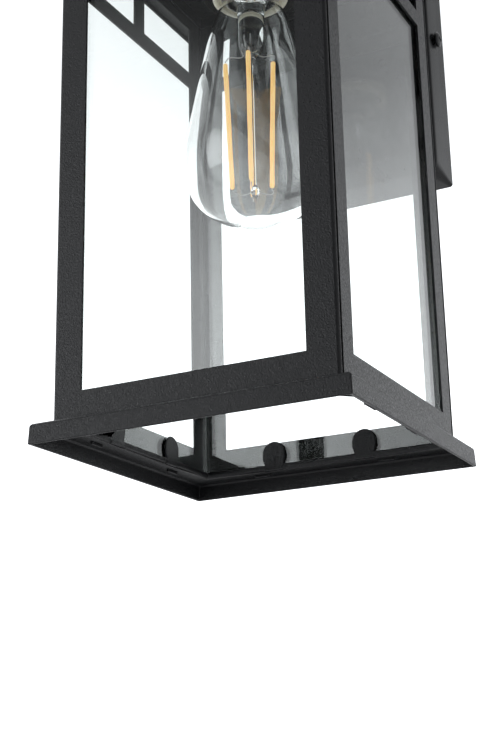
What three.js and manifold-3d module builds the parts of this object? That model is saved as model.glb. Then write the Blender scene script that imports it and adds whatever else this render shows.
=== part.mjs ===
// Outdoor wall lantern: a glazed square sheet-metal body, open underneath, with an overhanging
// hipped roof, hung in front of a deep wall plate, and a screw-in filament bulb.
//
// Millimetres, +Z up. The origin is on the wall, at the centre of the wall plate. The wall is the
// plane y = 0 and the lantern stands out of it towards -Y, so +X is the viewer's right.
//
// Two groups carry the parts: "lantern" has its origin on the bulb's axis at the level of the
// skirt's bottom edge, and "wallMount" has the origin on the wall.

import * as THREE from 'three';
import { mergeVertices } from 'three/addons/utils/BufferGeometryUtils.js';
import Module from 'manifold-3d';

// ---------------------------------------------------------------- driving dimensions

// Fits
const gap = 0.3;                  // clearance between pieces that touch on the real lantern
const threadClearance = 0.4;      // radial clearance between the bulb's thread and its socket's

// Body: four sheet panels round the glass
const bodyWidth = 130;
const bodyDepth = 127.5;
const sheet = 1.2;
const cornerRadius = 1.5;         // outside of the front and back panels' folded corners
const cornerReturn = 2.8;         // how far those corners run back along the sides
const frontPost = 13.9;           // post width on the front and back panels
const sidePost = 13.4;            // post width on the side panels
const skirtHeight = 8.8;
const sillHeight = 21.8;          // bottom edge of the large window
const barHeight = 217.5;          // underside of the crossbar
const barWidth = 8.4;
const lightTop = 252;             // top edge of the two small lights
const muntinWidth = 8.6;          // upright between the small lights
const ceilingHeight = 262;

// Skirt
const skirtFlareTop = 6.85;       // how far the fascia stands out from the body at its top
const skirtFlareBottom = 7.2;
const skirtLip = 1.7;             // how far the flange's inner edge turns up
const tabWidth = 12;
const tabTop = 21.7;
const tabSpacing = 46.6;          // between the two glass tabs of one side
const tongueWidth = 8;            // panel tongues that pass through the skirt's slots
const tongueSpacing = 64;

// Glass
const glassThickness = 3;
const glassGap = 0.6;             // from the sheet's inner face to the glass
const glassEdgeInset = 4.4;       // from the body's side to the front pane's edge

// Ceiling, roof and hanger
const lipHeight = 6;              // ceiling tray's turned-down edge
const roofOverhang = 15;
const roofFascia = 22;
const roofRise = 18;              // from the fascia's top to the flat at the peak
const roofPeak = 60;              // side of that flat
const strapWidth = 24;
const strapThickness = 2;
const strapTail = 14;             // how far the strap runs past the bulb's axis to the front
const hangerWidth = 68;           // the strap's upright leg
const hangerScrewSpacing = 50;
const pipeRadius = 4.85;          // M10 lamp pipe
const pipeBore = 3.65;
const pipeNutFlats = 13;
const pipeNutHeight = 3.7;
const screwShank = 2;             // M4 screws of the hanger and the earth
const finialSide = 34;
const finialNutHeight = 11;

// Wall plate
const wallGap = 41.6;             // from the wall to the back of the body
const plateWidth = 119.4;
const plateHeight = 158.6;
const plateDepth = 21.3;
const plateSheet = 1.4;
const plateCentreHeight = 234;    // above the skirt's bottom edge
const plateFrontCorner = 8;       // corner radius at the front of the drawn plate
const plateRimCorner = 1.5;
const plateDraft = 1;
const bracketHeight = 22;
const bracketSheet = 2;
const earToFront = 5.3;           // from the bracket's ears to the plate's front
const earEdge = 5.5;              // from the side screws' axis to the ears' edge
const sideScrewShank = 2.4;
const sideScrewHeadRadius = 4;
const sideScrewHeadHeight = 2;
const sideScrewLength = 11;
const boxSlotLength = 16;
const boxSlotHalf = 2.4;
const bracketWireHole = 6;
const boxSlotSpacing = 72;
const gasketWidth = 4;
const gasketDepth = 3;

// Lampholder
const socketMouth = 223;          // height of the porcelain's mouth
const porcelainRadius = 18;
const porcelainHeight = 24.5;
const porcelainBore = 15.3;
const smallShank = 1.5;           // M3 screws of the lampholder
const cupRadius = 23.5;
const cupSheet = 0.8;
const cupRim = 226;
const threadPitch = 3.629;        // E26 screw cap
const threadDepth = 0.38;
const capRadius = 12.72;          // middle of the cap's thread
const shellSheet = 0.6;

// Bulb
const bulbBottom = 106.5;
const bulbRadius = 32.5;
const bulbGlass = 0.9;
const filamentCount = 4;
const filamentRadius = 1.1;
const filamentLength = 68;
const filamentTop = 191.2;
const filamentRingTop = 11.3;     // distance of the filaments from the axis
const filamentRingBottom = 9;
const filamentTurn = 25;          // direction of the first filament, in degrees from +X
const filamentShift = [-1.2, -0.6];   // the cage sits a little off the bulb's axis

// Leads
const leadRadius = 1;

// ---------------------------------------------------------------- worked-out sizes

const halfWidth = bodyWidth / 2;
const halfDepth = bodyDepth / 2;
const wallY = halfDepth + wallGap;
const plateFrontY = wallY - plateDepth;
const bracketEarDepth = plateDepth - earToFront;
const sideScrewInset = bracketEarDepth - earEdge;
const flangeUnder = skirtHeight - sheet;
const panelBottom = skirtHeight + gap;
const panelTop = ceilingHeight + sheet;
const barTop = barHeight + barWidth;
const glassOuter = sheet + glassGap;
const glassInner = glassOuter + glassThickness;
const lipOuter = glassInner + gap;
const lipInner = lipOuter + 1;
const baseUnder = panelTop + gap;
const strapUnder = baseUnder + sheet + gap;
const strapTop = strapUnder + strapThickness;
const roofBottom = ceilingHeight;
const roofEave = roofBottom + roofFascia;
const roofTop = roofEave + roofRise;
const roofHalf = halfWidth + roofOverhang;
const roofFrontY = -halfDepth - roofOverhang;
const roofRearY = plateFrontY - gap;
const hangerY = roofRearY - sheet - gap;
const hangerHeight = strapTop + gap + pipeNutFlats / Math.sqrt(3) + gap;
const pipeHole = pipeRadius + gap;
const screwHole = screwShank + gap;
const sideScrewHole = sideScrewShank + gap;
const porcelainTop = socketMouth + porcelainHeight;
const bracketFoot = porcelainTop + gap;
const bracketDeck = porcelainTop + 8.8;
const pipeBottom = bracketDeck - 1;

// ---------------------------------------------------------------- finishes

function finish(color, roughness, metalness, more = {}) {
  return new THREE.MeshStandardMaterial({ color, roughness, metalness, ...more });
}

const blackPowder = finish(0x2b2c2f, 0.55, 0.3);
const zincSteel = finish(0xb9bcbe, 0.35, 1);
const greenScrew = finish(0x2f7d46, 0.4, 0.6);
const brass = finish(0xc9a557, 0.3, 1);
const nickelShell = finish(0xc8c9c6, 0.28, 1);
const porcelain = finish(0xe9e2d2, 0.3, 0);
const clearGlass = finish(0xe8f1ee, 0.04, 0, { transparent: true, opacity: 0.3 });
const blackGlass = finish(0x18181a, 0.2, 0);
const solder = finish(0xaeb0b2, 0.4, 1);
const supportWire = finish(0x9da0a3, 0.35, 1);
const phosphor = finish(0xf0c170, 0.6, 0);
const circuitBoard = finish(0x2c5b45, 0.6, 0);
const foam = finish(0x1b1b1c, 0.9, 0);
const blackLead = finish(0x151516, 0.5, 0);
const whiteLead = finish(0xe6e5e0, 0.5, 0);
const greenLead = finish(0x2c8a4b, 0.5, 0);
const connectorPlastic = finish(0xd8802f, 0.45, 0);

// ---------------------------------------------------------------- solids and booleans

const wasm = await Module();
wasm.setup();

// A closed geometry as a solid: vertices merged, collapsed triangles dropped, faces outward.
function solid(geometry) {
  const bare = new THREE.BufferGeometry();
  bare.setAttribute('position', geometry.getAttribute('position').clone());
  if (geometry.index) bare.setIndex(geometry.index.clone());
  const merged = mergeVertices(bare, 1e-4);
  const corners = merged.index.array;
  const triangles = [];
  for (let i = 0; i < corners.length; i += 3) {
    const [a, b, c] = [corners[i], corners[i + 1], corners[i + 2]];
    if (a !== b && b !== c && c !== a) triangles.push(a, b, c);
  }
  const made = (order) => new wasm.Manifold(new wasm.Mesh({
    numProp: 3,
    vertProperties: new Float32Array(merged.getAttribute('position').array),
    triVerts: new Uint32Array(order),
  }));
  const first = made(triangles);
  return first.volume() > 0 ? first : made(triangles.reverse());
}

// A solid back as a geometry.
function geometryOf(body) {
  const mesh = body.getMesh();
  const geometry = new THREE.BufferGeometry();
  geometry.setAttribute('position', new THREE.BufferAttribute(mesh.vertProperties, 3));
  geometry.setIndex(new THREE.BufferAttribute(mesh.triVerts, 1));
  geometry.computeVertexNormals();
  return geometry;
}

function joined(first, ...others) {
  return others.reduce((body, other) => body.add(other), first);
}

function cut(first, ...others) {
  return others.reduce((body, other) => body.subtract(other), first);
}

// A box between two corners.
function block(x0, x1, y0, y1, z0, z1) {
  const geometry = new THREE.BoxGeometry(x1 - x0, y1 - y0, z1 - z0);
  geometry.translate((x0 + x1) / 2, (y0 + y1) / 2, (z0 + z1) / 2);
  return solid(geometry);
}

// A straight extrusion along Z of an outline drawn in X and Y.
function prism(shape, z0, z1, curveSegments = 6) {
  const geometry = new THREE.ExtrudeGeometry(shape, { depth: z1 - z0, bevelEnabled: false, curveSegments });
  geometry.translate(0, 0, z0);
  return solid(geometry);
}

// A cylinder from one level to another along an axis, through a point across it.
function rod(axis, radius, from, to, across = [0, 0], sides = 16) {
  const geometry = new THREE.CylinderGeometry(radius, radius, to - from, sides);
  geometry.translate(0, (from + to) / 2, 0);
  if (axis === 'x') {
    geometry.rotateZ(-Math.PI / 2);
    geometry.translate(0, across[0], across[1]);
  }
  if (axis === 'y') geometry.translate(across[0], 0, across[1]);
  if (axis === 'z') {
    geometry.rotateX(Math.PI / 2);
    geometry.translate(across[0], across[1], 0);
  }
  return solid(geometry);
}

// A body turned about Z, from a profile of [radius, height] points that starts and ends on the
// axis or closes on itself.
function turned(profile, sides = 20) {
  const geometry = new THREE.LatheGeometry(profile.map(([r, z]) => new THREE.Vector2(r, z)), sides);
  geometry.rotateX(Math.PI / 2);
  return geometry;
}

// The same ring profile as a plain tube.
function tube(inner, outer, z0, z1, sides = 24) {
  return solid(turned([[inner, z0], [outer, z0], [outer, z1], [inner, z1], [inner, z0]], sides));
}

// The points of a rectangle with round corners, anticlockwise, the same number for any radius.
function roundRectangle(x0, x1, y0, y1, radius, steps = 4) {
  const points = [];
  const centres = [[x1, y1, 1, 1], [x0, y1, -1, 1], [x0, y0, -1, -1], [x1, y0, 1, -1]];
  centres.forEach(([x, y, sx, sy], corner) => {
    for (let i = 0; i <= steps; i += 1) {
      const angle = (corner + i / steps) * Math.PI / 2;
      points.push([x - sx * radius + radius * Math.cos(angle), y - sy * radius + radius * Math.sin(angle)]);
    }
  });
  return points;
}

// A convex solid through a stack of outlines with equal point counts: [[z, points], ...].
function loft(sections) {
  const positions = [];
  const index = [];
  const count = sections[0][1].length;
  sections.forEach(([z, points]) => points.forEach(([x, y]) => positions.push(x, y, z)));
  for (let s = 0; s + 1 < sections.length; s += 1) {
    for (let i = 0; i < count; i += 1) {
      const a = s * count + i;
      const b = s * count + (i + 1) % count;
      index.push(a, b, b + count, a, b + count, a + count);
    }
  }
  const last = (sections.length - 1) * count;
  for (let i = 1; i + 1 < count; i += 1) {
    index.push(0, i + 1, i);
    index.push(last, last + i, last + i + 1);
  }
  const geometry = new THREE.BufferGeometry();
  geometry.setAttribute('position', new THREE.Float32BufferAttribute(positions, 3));
  geometry.setIndex(index);
  return solid(geometry);
}

// A loft through rectangles: [[z, x0, x1, y0, y1], ...].
function hopper(levels) {
  return loft(levels.map(([z, x0, x1, y0, y1]) => [z, [[x1, y1], [x0, y1], [x0, y0], [x1, y0]]]));
}

// A hexagonal nut on Z, flats across X.
function hexNut(flats, z0, z1, bore) {
  return cut(rod('z', flats / Math.sqrt(3), z0, z1, [0, 0], 6), rod('z', bore, z0 - 1, z1 + 1));
}

// A pan-head machine screw along Z: the head stands on z = 0 and the shank runs down from it.
function panScrew(headRadius, headHeight, shankRadius, length) {
  const body = solid(turned([
    [0, -length], [shankRadius, -length], [shankRadius, 0], [headRadius, 0],
    [headRadius, headHeight * 0.35], [headRadius * 0.82, headHeight * 0.8],
    [headRadius * 0.5, headHeight], [0, headHeight],
  ], 10));
  const arm = headRadius * 0.55;
  const half = headRadius * 0.12;
  const depth = headHeight * 0.45;
  return cut(
    body,
    block(-arm, arm, -half, half, headHeight - depth, headHeight + 1),
    block(-half, half, -arm, arm, headHeight - depth, headHeight + 1),
  );
}

// A round lead along a smooth path through points.
function lead(points, steps) {
  const path = new THREE.CatmullRomCurve3(points.map((p) => new THREE.Vector3(...p)), false, 'centripetal');
  const ring = [];
  for (let i = 0; i < 8; i += 1) {
    const angle = i * Math.PI / 4;
    ring.push(new THREE.Vector2(leadRadius * Math.cos(angle), leadRadius * Math.sin(angle)));
  }
  const options = { steps, extrudePath: path, bevelEnabled: false };
  return solid(new THREE.ExtrudeGeometry(new THREE.Shape(ring), options));
}

// Presses a screw thread into the rows of a turned geometry that lie near one radius. Bulb and
// socket share the helix, so turning one about -Z moves it down by one pitch a turn.
function threaded(geometry, radius, z0, z1) {
  const position = geometry.getAttribute('position');
  for (let i = 0; i < position.count; i += 1) {
    const [x, y, z] = [position.getX(i), position.getY(i), position.getZ(i)];
    const r = Math.hypot(x, y);
    if (Math.abs(r - radius) < 0.01 && z > z0 && z < z1) {
      const wave = threadDepth * Math.cos(2 * Math.PI * z / threadPitch - Math.atan2(y, x));
      position.setX(i, x * (r + wave) / r);
      position.setY(i, y * (r + wave) / r);
    }
  }
  return geometry;
}

// The rows of a threaded wall, five to a pitch.
function threadRows(radius, z0, z1) {
  const count = Math.round((z1 - z0) / threadPitch * 5);
  return Array.from({ length: count + 1 }, (_, i) => [radius, z0 + (z1 - z0) * i / count]);
}

// ---------------------------------------------------------------- assembly helpers

const model = new THREE.Group();
const lantern = new THREE.Group();
lantern.position.set(0, -wallY, -plateCentreHeight);
const wallMount = new THREE.Group();
model.add(lantern, wallMount);

function place(group, name, body, material, position = [0, 0, 0], rotation = [0, 0, 0]) {
  const mesh = new THREE.Mesh(geometryOf(body), material);
  mesh.name = name;
  mesh.position.set(...position);
  mesh.rotation.set(...rotation);
  group.add(mesh);
}

// ---------------------------------------------------------------- body panels

// The window openings of a panel, each from one place across it to another and from z0 to z1.
function windows(halfSpan, post) {
  const inner = halfSpan - post;
  const half = muntinWidth / 2;
  return [
    [-inner, inner, sillHeight, barHeight],
    [-inner, -half, barTop, lightTop],
    [half, inner, barTop, lightTop],
  ];
}

// How far the panels' tongues reach down, through the skirt's slots.
const tongueBottom = flangeUnder - sheet;

// A front or back panel: a face with both corners folded. side is -1 at the front, 1 at the back.
function broadPanel(side) {
  const face = side * halfDepth;
  const back = face - side * cornerReturn;
  const shape = new THREE.Shape();
  const turnIn = face - side * cornerRadius;
  const start = side > 0 ? 0 : Math.PI * 2;
  const quarter = side * Math.PI / 2;
  shape.moveTo(halfWidth, back);
  shape.absarc(halfWidth - cornerRadius, turnIn, cornerRadius, start, start + quarter, side < 0);
  shape.absarc(
    -halfWidth + cornerRadius, turnIn, cornerRadius, start + quarter, start + 2 * quarter, side < 0,
  );
  shape.lineTo(-halfWidth, back);
  shape.lineTo(-halfWidth + sheet, back);
  shape.lineTo(-halfWidth + sheet, face - side * sheet);
  shape.lineTo(halfWidth - sheet, face - side * sheet);
  shape.lineTo(halfWidth - sheet, back);
  shape.closePath();
  const [y0, y1] = [face, face - side * sheet].sort((p, q) => p - q);
  const tongues = [-1, 1].map((end) => block(
    end * tongueSpacing / 2 - tongueWidth / 2,
    end * tongueSpacing / 2 + tongueWidth / 2,
    y0, y1, tongueBottom, panelBottom + 1,
  ));
  const openings = windows(halfWidth, frontPost).map(([a, b, z0, z1]) => block(
    a, b, face - 2 * sheet, face + 2 * sheet, z0, z1,
  ));
  return cut(joined(prism(shape, panelBottom, panelTop, 4), ...tongues), ...openings);
}

// A side panel: a flat sheet between the folded corners. side is -1 at the left, 1 at the right.
function sidePanel(side) {
  const face = side * halfWidth;
  const [x0, x1] = [face, face - side * sheet].sort((p, q) => p - q);
  const end = halfDepth - cornerReturn - gap;
  const tongues = [-1, 1].map((at) => block(
    x0, x1,
    at * tongueSpacing / 2 - tongueWidth / 2,
    at * tongueSpacing / 2 + tongueWidth / 2,
    tongueBottom, panelBottom + 1,
  ));
  const openings = windows(halfDepth, sidePost).map(([a, b, z0, z1]) => block(
    face - 2 * sheet, face + 2 * sheet, a, b, z0, z1,
  ));
  return cut(joined(block(x0, x1, -end, end, panelBottom, panelTop), ...tongues), ...openings);
}

place(lantern, 'front_panel', broadPanel(-1), blackPowder);
place(lantern, 'back_panel', broadPanel(1), blackPowder);
place(lantern, 'left_panel', sidePanel(-1), blackPowder);
place(lantern, 'right_panel', sidePanel(1), blackPowder);

// ---------------------------------------------------------------- glass panes

const glassBottom = skirtHeight + gap;
const glassTop = ceilingHeight - gap;
const broadGlass = halfWidth - glassEdgeInset;
const sideGlass = halfDepth - glassInner - gap;

function pane(x0, x1, y0, y1) {
  return block(x0, x1, y0, y1, glassBottom, glassTop);
}

place(lantern, 'front_glass', pane(
  -broadGlass, broadGlass, -halfDepth + glassOuter, -halfDepth + glassInner,
), clearGlass);
place(lantern, 'back_glass', pane(
  -broadGlass, broadGlass, halfDepth - glassInner, halfDepth - glassOuter,
), clearGlass);
place(lantern, 'left_glass', pane(
  -halfWidth + glassOuter, -halfWidth + glassInner, -sideGlass, sideGlass,
), clearGlass);
place(lantern, 'right_glass', pane(
  halfWidth - glassInner, halfWidth - glassOuter, -sideGlass, sideGlass,
), clearGlass);

// ---------------------------------------------------------------- skirt

// A tab that stands up behind the glass, drawn in its own plane, u across and z up.
function tabShape() {
  const head = tabWidth / 2;
  const neck = head * 0.82;
  const shape = new THREE.Shape();
  shape.moveTo(-neck, flangeUnder + 0.2);
  shape.lineTo(neck, flangeUnder + 0.2);
  shape.lineTo(neck, skirtHeight + skirtLip);
  shape.lineTo(head, skirtHeight + skirtLip + 3);
  shape.lineTo(head, tabTop - head);
  shape.absarc(0, tabTop - head, head, 0, Math.PI, false);
  shape.lineTo(-head, skirtHeight + skirtLip + 3);
  shape.lineTo(-neck, skirtHeight + skirtLip);
  shape.closePath();
  return shape;
}

function tab(side, alongX, centre) {
  const outer = (alongX ? halfDepth : halfWidth) - lipOuter;
  const geometry = new THREE.ExtrudeGeometry(tabShape(), {
    depth: lipInner - lipOuter, bevelEnabled: false, curveSegments: 5,
  });
  geometry.rotateX(Math.PI / 2);
  geometry.translate(centre, outer, 0);
  geometry.rotateZ(alongX ? (side > 0 ? 0 : Math.PI) : -side * Math.PI / 2);
  return solid(geometry);
}

function skirt() {
  const frame = (x, y) => (grow, z) => [z, -x - grow, x + grow, -y - grow, y + grow];
  const out = frame(halfWidth, halfDepth);
  const outside = hopper([
    out(skirtFlareBottom, 0),
    out(skirtFlareTop, skirtHeight - 0.8),
    out(skirtFlareTop - 0.8, skirtHeight),
  ]);
  const hollow = hopper([
    out(skirtFlareBottom - sheet, -1),
    out(skirtFlareTop - sheet, flangeUnder - 0.6),
    out(skirtFlareTop - sheet - 0.6, flangeUnder),
  ]);
  const lip = hopper([out(-lipOuter, flangeUnder), out(-lipOuter, skirtHeight + skirtLip)]);
  const mouth = hopper([
    out(-lipOuter + 1, flangeUnder - 1),
    out(-lipOuter + 0.4, flangeUnder),
    out(-lipOuter - 0.4, flangeUnder + 0.6),
    out(-lipInner, flangeUnder + 1.8),
    out(-lipInner, skirtHeight + skirtLip + 1),
  ]);
  const tabs = [];
  [-1, 1].forEach((side) => [-1, 1].forEach((end) => {
    tabs.push(tab(side, true, end * tabSpacing / 2), tab(side, false, end * tabSpacing / 2));
  }));
  const slotHalf = tongueWidth / 2 + gap;
  const slots = [];
  [-1, 1].forEach((side) => [-1, 1].forEach((end) => {
    const centre = end * tongueSpacing / 2;
    const [a, b] = [centre - slotHalf, centre + slotHalf];
    const span = (half) => [side * (half + gap), side * (half - sheet - gap)].sort((p, q) => p - q);
    slots.push(block(...span(halfWidth), a, b, flangeUnder - 1, skirtHeight + 1));
    slots.push(block(a, b, ...span(halfDepth), flangeUnder - 1, skirtHeight + 1));
  }));
  return joined(cut(joined(cut(outside, hollow), lip), mouth, ...slots), ...tabs);
}

place(lantern, 'bottom_skirt', skirt(), blackPowder);

// ---------------------------------------------------------------- ceiling and roof

function ceilingTray() {
  const [x, y] = [halfWidth - sheet - gap, halfDepth - sheet - gap];
  const [lx, ly] = [halfWidth - lipOuter, halfDepth - lipOuter];
  const [ix, iy] = [halfWidth - lipInner, halfDepth - lipInner];
  const [bottom, top] = [ceilingHeight - lipHeight, ceilingHeight + sheet];
  return cut(
    joined(block(-x, x, -y, y, ceilingHeight, top), block(-lx, lx, -ly, ly, bottom, top)),
    block(-ix, ix, -iy, iy, bottom - 1, ceilingHeight),
    rod('z', pipeHole, bottom, top + 1),
  );
}

function roofBase() {
  const x = roofHalf - sheet - gap;
  return cut(
    block(-x, x, roofFrontY + sheet + gap, hangerY, baseUnder, baseUnder + sheet),
    rod('z', pipeHole, baseUnder - 1, baseUnder + sheet + 1),
  );
}

// The hipped roof: an upright fascia, four slopes and a small flat, open underneath.
function roofCap() {
  const half = roofPeak / 2;
  const shell = (inset, lower) => hopper([
    [roofBottom - lower, -roofHalf + inset, roofHalf - inset, roofFrontY + inset, roofRearY - inset],
    [roofEave - inset * 0.4, -roofHalf + inset, roofHalf - inset, roofFrontY + inset, roofRearY - inset],
    [roofTop - inset, -half, half, -half, half],
  ]);
  const rear = [roofRearY - 2 * sheet, roofRearY + sheet];
  return cut(
    shell(0, 0),
    shell(sheet, 1),
    rod('z', pipeHole, roofTop - 2 * sheet, roofTop + 1),
    rod('y', pipeHole, ...rear, [0, hangerHeight]),
    ...hangerScrewHoles(...rear),
  );
}

// The two holes of the hanger screws, either side of the level pipe.
function hangerScrewHoles(from, to) {
  return [-1, 1].map((side) => rod(
    'y', screwHole, from, to, [side * hangerScrewSpacing / 2, hangerHeight], 10,
  ));
}

// The strap that carries the lantern: a level leg over the ceiling, a leg up the roof's rear wall.
function hangerStrap() {
  const legTop = roofEave - sheet - 1;
  return cut(
    joined(
      block(-strapWidth / 2, strapWidth / 2, -strapTail, hangerY, strapUnder, strapTop),
      block(-hangerWidth / 2, hangerWidth / 2, hangerY - strapThickness, hangerY, strapUnder, legTop),
    ),
    rod('z', pipeHole, strapUnder - 1, strapTop + 1),
    rod('y', pipeHole, hangerY - 2 * strapThickness, hangerY + 1, [0, hangerHeight]),
    ...hangerScrewHoles(hangerY - 2 * strapThickness, hangerY + 1),
  );
}

place(lantern, 'ceiling_tray', ceilingTray(), blackPowder);
place(lantern, 'roof_base', roofBase(), blackPowder);
place(lantern, 'roof_cap', roofCap(), blackPowder);
place(lantern, 'hanger_strap', hangerStrap(), zincSteel);

// The upright lamp pipe clamps cup, ceiling, strap and roof. The leads leave it by a side slot.
const finialUnder = roofTop + gap;
const finialBase = finialUnder + 2.6;
const pipeTop = finialBase + gap + finialNutHeight * 0.4;

function lampPipe() {
  const slotBottom = strapTop + 2 * gap + pipeNutHeight;
  return cut(
    tube(pipeBore, pipeRadius, pipeBottom, pipeTop, 16),
    block(-3, 3, 0, pipeRadius + 1, slotBottom, slotBottom + 9),
  );
}

function finialPlate() {
  const half = finialSide / 2;
  const level = (h, z) => [z, -h, h, -h, h];
  return cut(
    hopper([level(half, finialUnder), level(half, finialUnder + 1), level(half * 0.4, finialBase)]),
    rod('z', pipeHole, finialUnder - 1, finialBase + 1),
  );
}

function finialNut() {
  const bottom = finialBase + gap;
  const top = bottom + finialNutHeight;
  const bore = pipeTop + gap;
  return solid(turned([
    [pipeHole, bottom], [7.6, bottom], [7.6, bottom + 2], [6.6, bottom + 3], [6.6, bottom + 6.5],
    [5, bottom + 9.4], [2.5, top - 0.4], [0, top], [0, bore], [pipeHole, bore], [pipeHole, bottom],
  ], 16));
}

place(lantern, 'lamp_pipe', lampPipe(), zincSteel);
place(lantern, 'lamp_pipe_nut', hexNut(
  pipeNutFlats, strapTop + gap, strapTop + gap + pipeNutHeight, pipeHole,
), zincSteel);
place(lantern, 'finial_plate', finialPlate(), blackPowder);
place(lantern, 'finial_nut', finialNut(), blackPowder);

// The level pipe and two screws tie roof, strap and wall plate together.
const nutInside = hangerY - strapThickness - gap - pipeNutHeight;
const plateInside = plateFrontY + plateSheet + gap;
const levelPipe = [nutInside - 3, plateInside + pipeNutHeight + 1.5];
const toY = [-Math.PI / 2, 0, 0];

place(lantern, 'wire_pipe', tube(pipeBore, pipeRadius, ...levelPipe, 16), zincSteel,
  [0, 0, hangerHeight], toY);
[['wire_pipe_nut_front', nutInside], ['wire_pipe_nut_rear', plateInside]].forEach(([name, y]) => {
  place(lantern, name, hexNut(pipeNutFlats, 0, pipeNutHeight, pipeHole), zincSteel,
    [0, y, hangerHeight], toY);
});
[['left', -1], ['right', 1]].forEach(([name, side]) => {
  const x = side * hangerScrewSpacing / 2;
  const reach = plateInside - (hangerY - strapThickness - gap) + 5;
  place(lantern, `hanger_screw_${name}`, panScrew(3.6, 2.4, screwShank, reach), zincSteel,
    [x, plateInside, hangerHeight], toY);
  place(lantern, `hanger_nut_${name}`, hexNut(7, -3, 0, screwHole), zincSteel,
    [x, hangerY - strapThickness - gap, hangerHeight], toY);
});

// ---------------------------------------------------------------- lampholder

function socketCup() {
  const top = ceilingHeight - gap;
  return solid(turned([
    [pipeHole, top], [pipeHole, top - cupSheet], [cupRadius - 2.6, top - cupSheet],
    [cupRadius - cupSheet, top - 3.4], [cupRadius - cupSheet, cupRim],
    [cupRadius, cupRim], [cupRadius, top - 2.8], [cupRadius - 2.4, top], [pipeHole, top],
  ], 28));
}

const boreTop = porcelainTop - 3.4;
const terminalX = 11.5;
const bridgeLegY = pipeHole + 2.85;
const bracketScrewY = bridgeLegY + 2.5;

function porcelainBody() {
  const chamfer = 1.2;
  const body = solid(turned([
    [0, boreTop], [porcelainBore, boreTop], [porcelainBore, socketMouth],
    [porcelainRadius - 0.6, socketMouth], [porcelainRadius, socketMouth + 0.6],
    [porcelainRadius, porcelainTop - chamfer], [porcelainRadius - chamfer, porcelainTop],
    [0, porcelainTop],
  ], 28));
  const pockets = [-1, 1].flatMap((side) => [
    rod('z', smallShank + gap, boreTop + 0.8, porcelainTop + 1, [side * terminalX, 0], 8),
    rod('z', smallShank + gap, boreTop + 0.8, porcelainTop + 1, [0, side * bracketScrewY], 8),
  ]);
  return cut(body, ...pockets);
}

// The pressed shell: a threaded inside under a flat crown, open at the mouth.
const shellMiddle = capRadius + threadClearance;
const shellOuter = shellMiddle + threadDepth + shellSheet;
const shellBottom = socketMouth + 1.6;
const shellTop = boreTop - 1.2;

function screwShell() {
  const rows = threadRows(shellMiddle, shellBottom + 0.8, shellTop - shellSheet);
  const profile = [
    [shellMiddle + threadDepth, shellBottom], ...rows,
    [7, shellTop - shellSheet], [7, shellTop], [shellOuter, shellTop], [shellOuter, shellBottom],
    [shellMiddle + threadDepth, shellBottom],
  ];
  return solid(threaded(turned(profile), shellMiddle, shellBottom + 0.5, shellTop - shellSheet - 0.1));
}

// The centre contact: a spring tongue fixed at one side and bent down to the bulb's tip.
const capTop = shellTop - 2.6;
const tipTop = capTop + 1.6;

function centreContact() {
  const shape = new THREE.Shape();
  const z = boreTop - gap;
  const touch = tipTop + gap;
  shape.moveTo(-6.2, z);
  shape.lineTo(-6.2, z - 0.5);
  shape.lineTo(-3.6, z - 0.5);
  shape.lineTo(-1.8, touch);
  shape.lineTo(1.8, touch);
  shape.lineTo(2.8, touch + 0.7);
  shape.lineTo(2.4, touch + 1.1);
  shape.lineTo(1.5, touch + 0.5);
  shape.lineTo(-1.5, touch + 0.5);
  shape.lineTo(-3.2, z);
  shape.closePath();
  const geometry = new THREE.ExtrudeGeometry(shape, { depth: 5, bevelEnabled: false });
  geometry.rotateX(Math.PI / 2);
  geometry.translate(0, 2.5, 0);
  return solid(geometry);
}

// The steel bridge between porcelain and lamp pipe, open at both sides for the leads.
function socketBridge() {
  const foot = bracketScrewY + 3.5;
  const wall = 1.2;
  const wide = pipeHole + 1;
  const low = block(-wide, wide, -foot, foot, bracketFoot, bracketFoot + wall);
  return cut(
    joined(low, block(-wide, wide, -bridgeLegY, bridgeLegY, bracketFoot, bracketDeck + wall)),
    block(-wide - 1, wide + 1, -bridgeLegY + wall, bridgeLegY - wall, bracketFoot - 1, bracketDeck),
    rod('z', pipeHole, bracketDeck - 1, bracketDeck + wall + 1),
    ...[-1, 1].map((side) => rod(
      'z', smallShank + gap, bracketFoot - 1, bracketFoot + 3, [0, side * bracketScrewY], 8,
    )),
  );
}

place(lantern, 'socket_cup', socketCup(), blackPowder);
place(lantern, 'socket_body', porcelainBody(), porcelain);
place(lantern, 'screw_shell', screwShell(), nickelShell);
place(lantern, 'centre_contact', centreContact(), brass);
place(lantern, 'socket_bridge', socketBridge(), zincSteel);
[['live', 1], ['neutral', -1]].forEach(([name, side]) => {
  place(lantern, `${name}_terminal_screw`, panScrew(2.4, 1.6, smallShank, 2.2),
    side > 0 ? brass : zincSteel, [side * terminalX, 0, porcelainTop + gap]);
});
[['front', -1], ['rear', 1]].forEach(([name, side]) => {
  place(lantern, `bridge_screw_${name}`, panScrew(2.2, 1.5, smallShank, 3.4), zincSteel,
    [0, side * bracketScrewY, bracketFoot + 1.2 + gap]);
});

// ---------------------------------------------------------------- bulb

const glassTopHeight = 116;       // from the bulb's lowest point to where the cap begins
const neckRadius = capRadius - threadDepth - 0.4 - gap;
const drawnRadius = 32.7;         // widest radius of the outline below
const bulbShape = [
  [0, 0], [7.6, 0.8], [13.2, 3], [18.9, 6], [24.6, 10], [28.8, 15], [31, 20], [32.3, 26],
  [32.7, 33], [32.3, 39], [31, 46], [29, 55], [26.9, 65], [24.9, 75], [22.8, 85], [20.5, 95],
  [17.7, 105], [14.4, 112], [12.8, glassTopHeight],
].map(([r, z]) => [r * bulbRadius / drawnRadius, z]);

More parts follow.
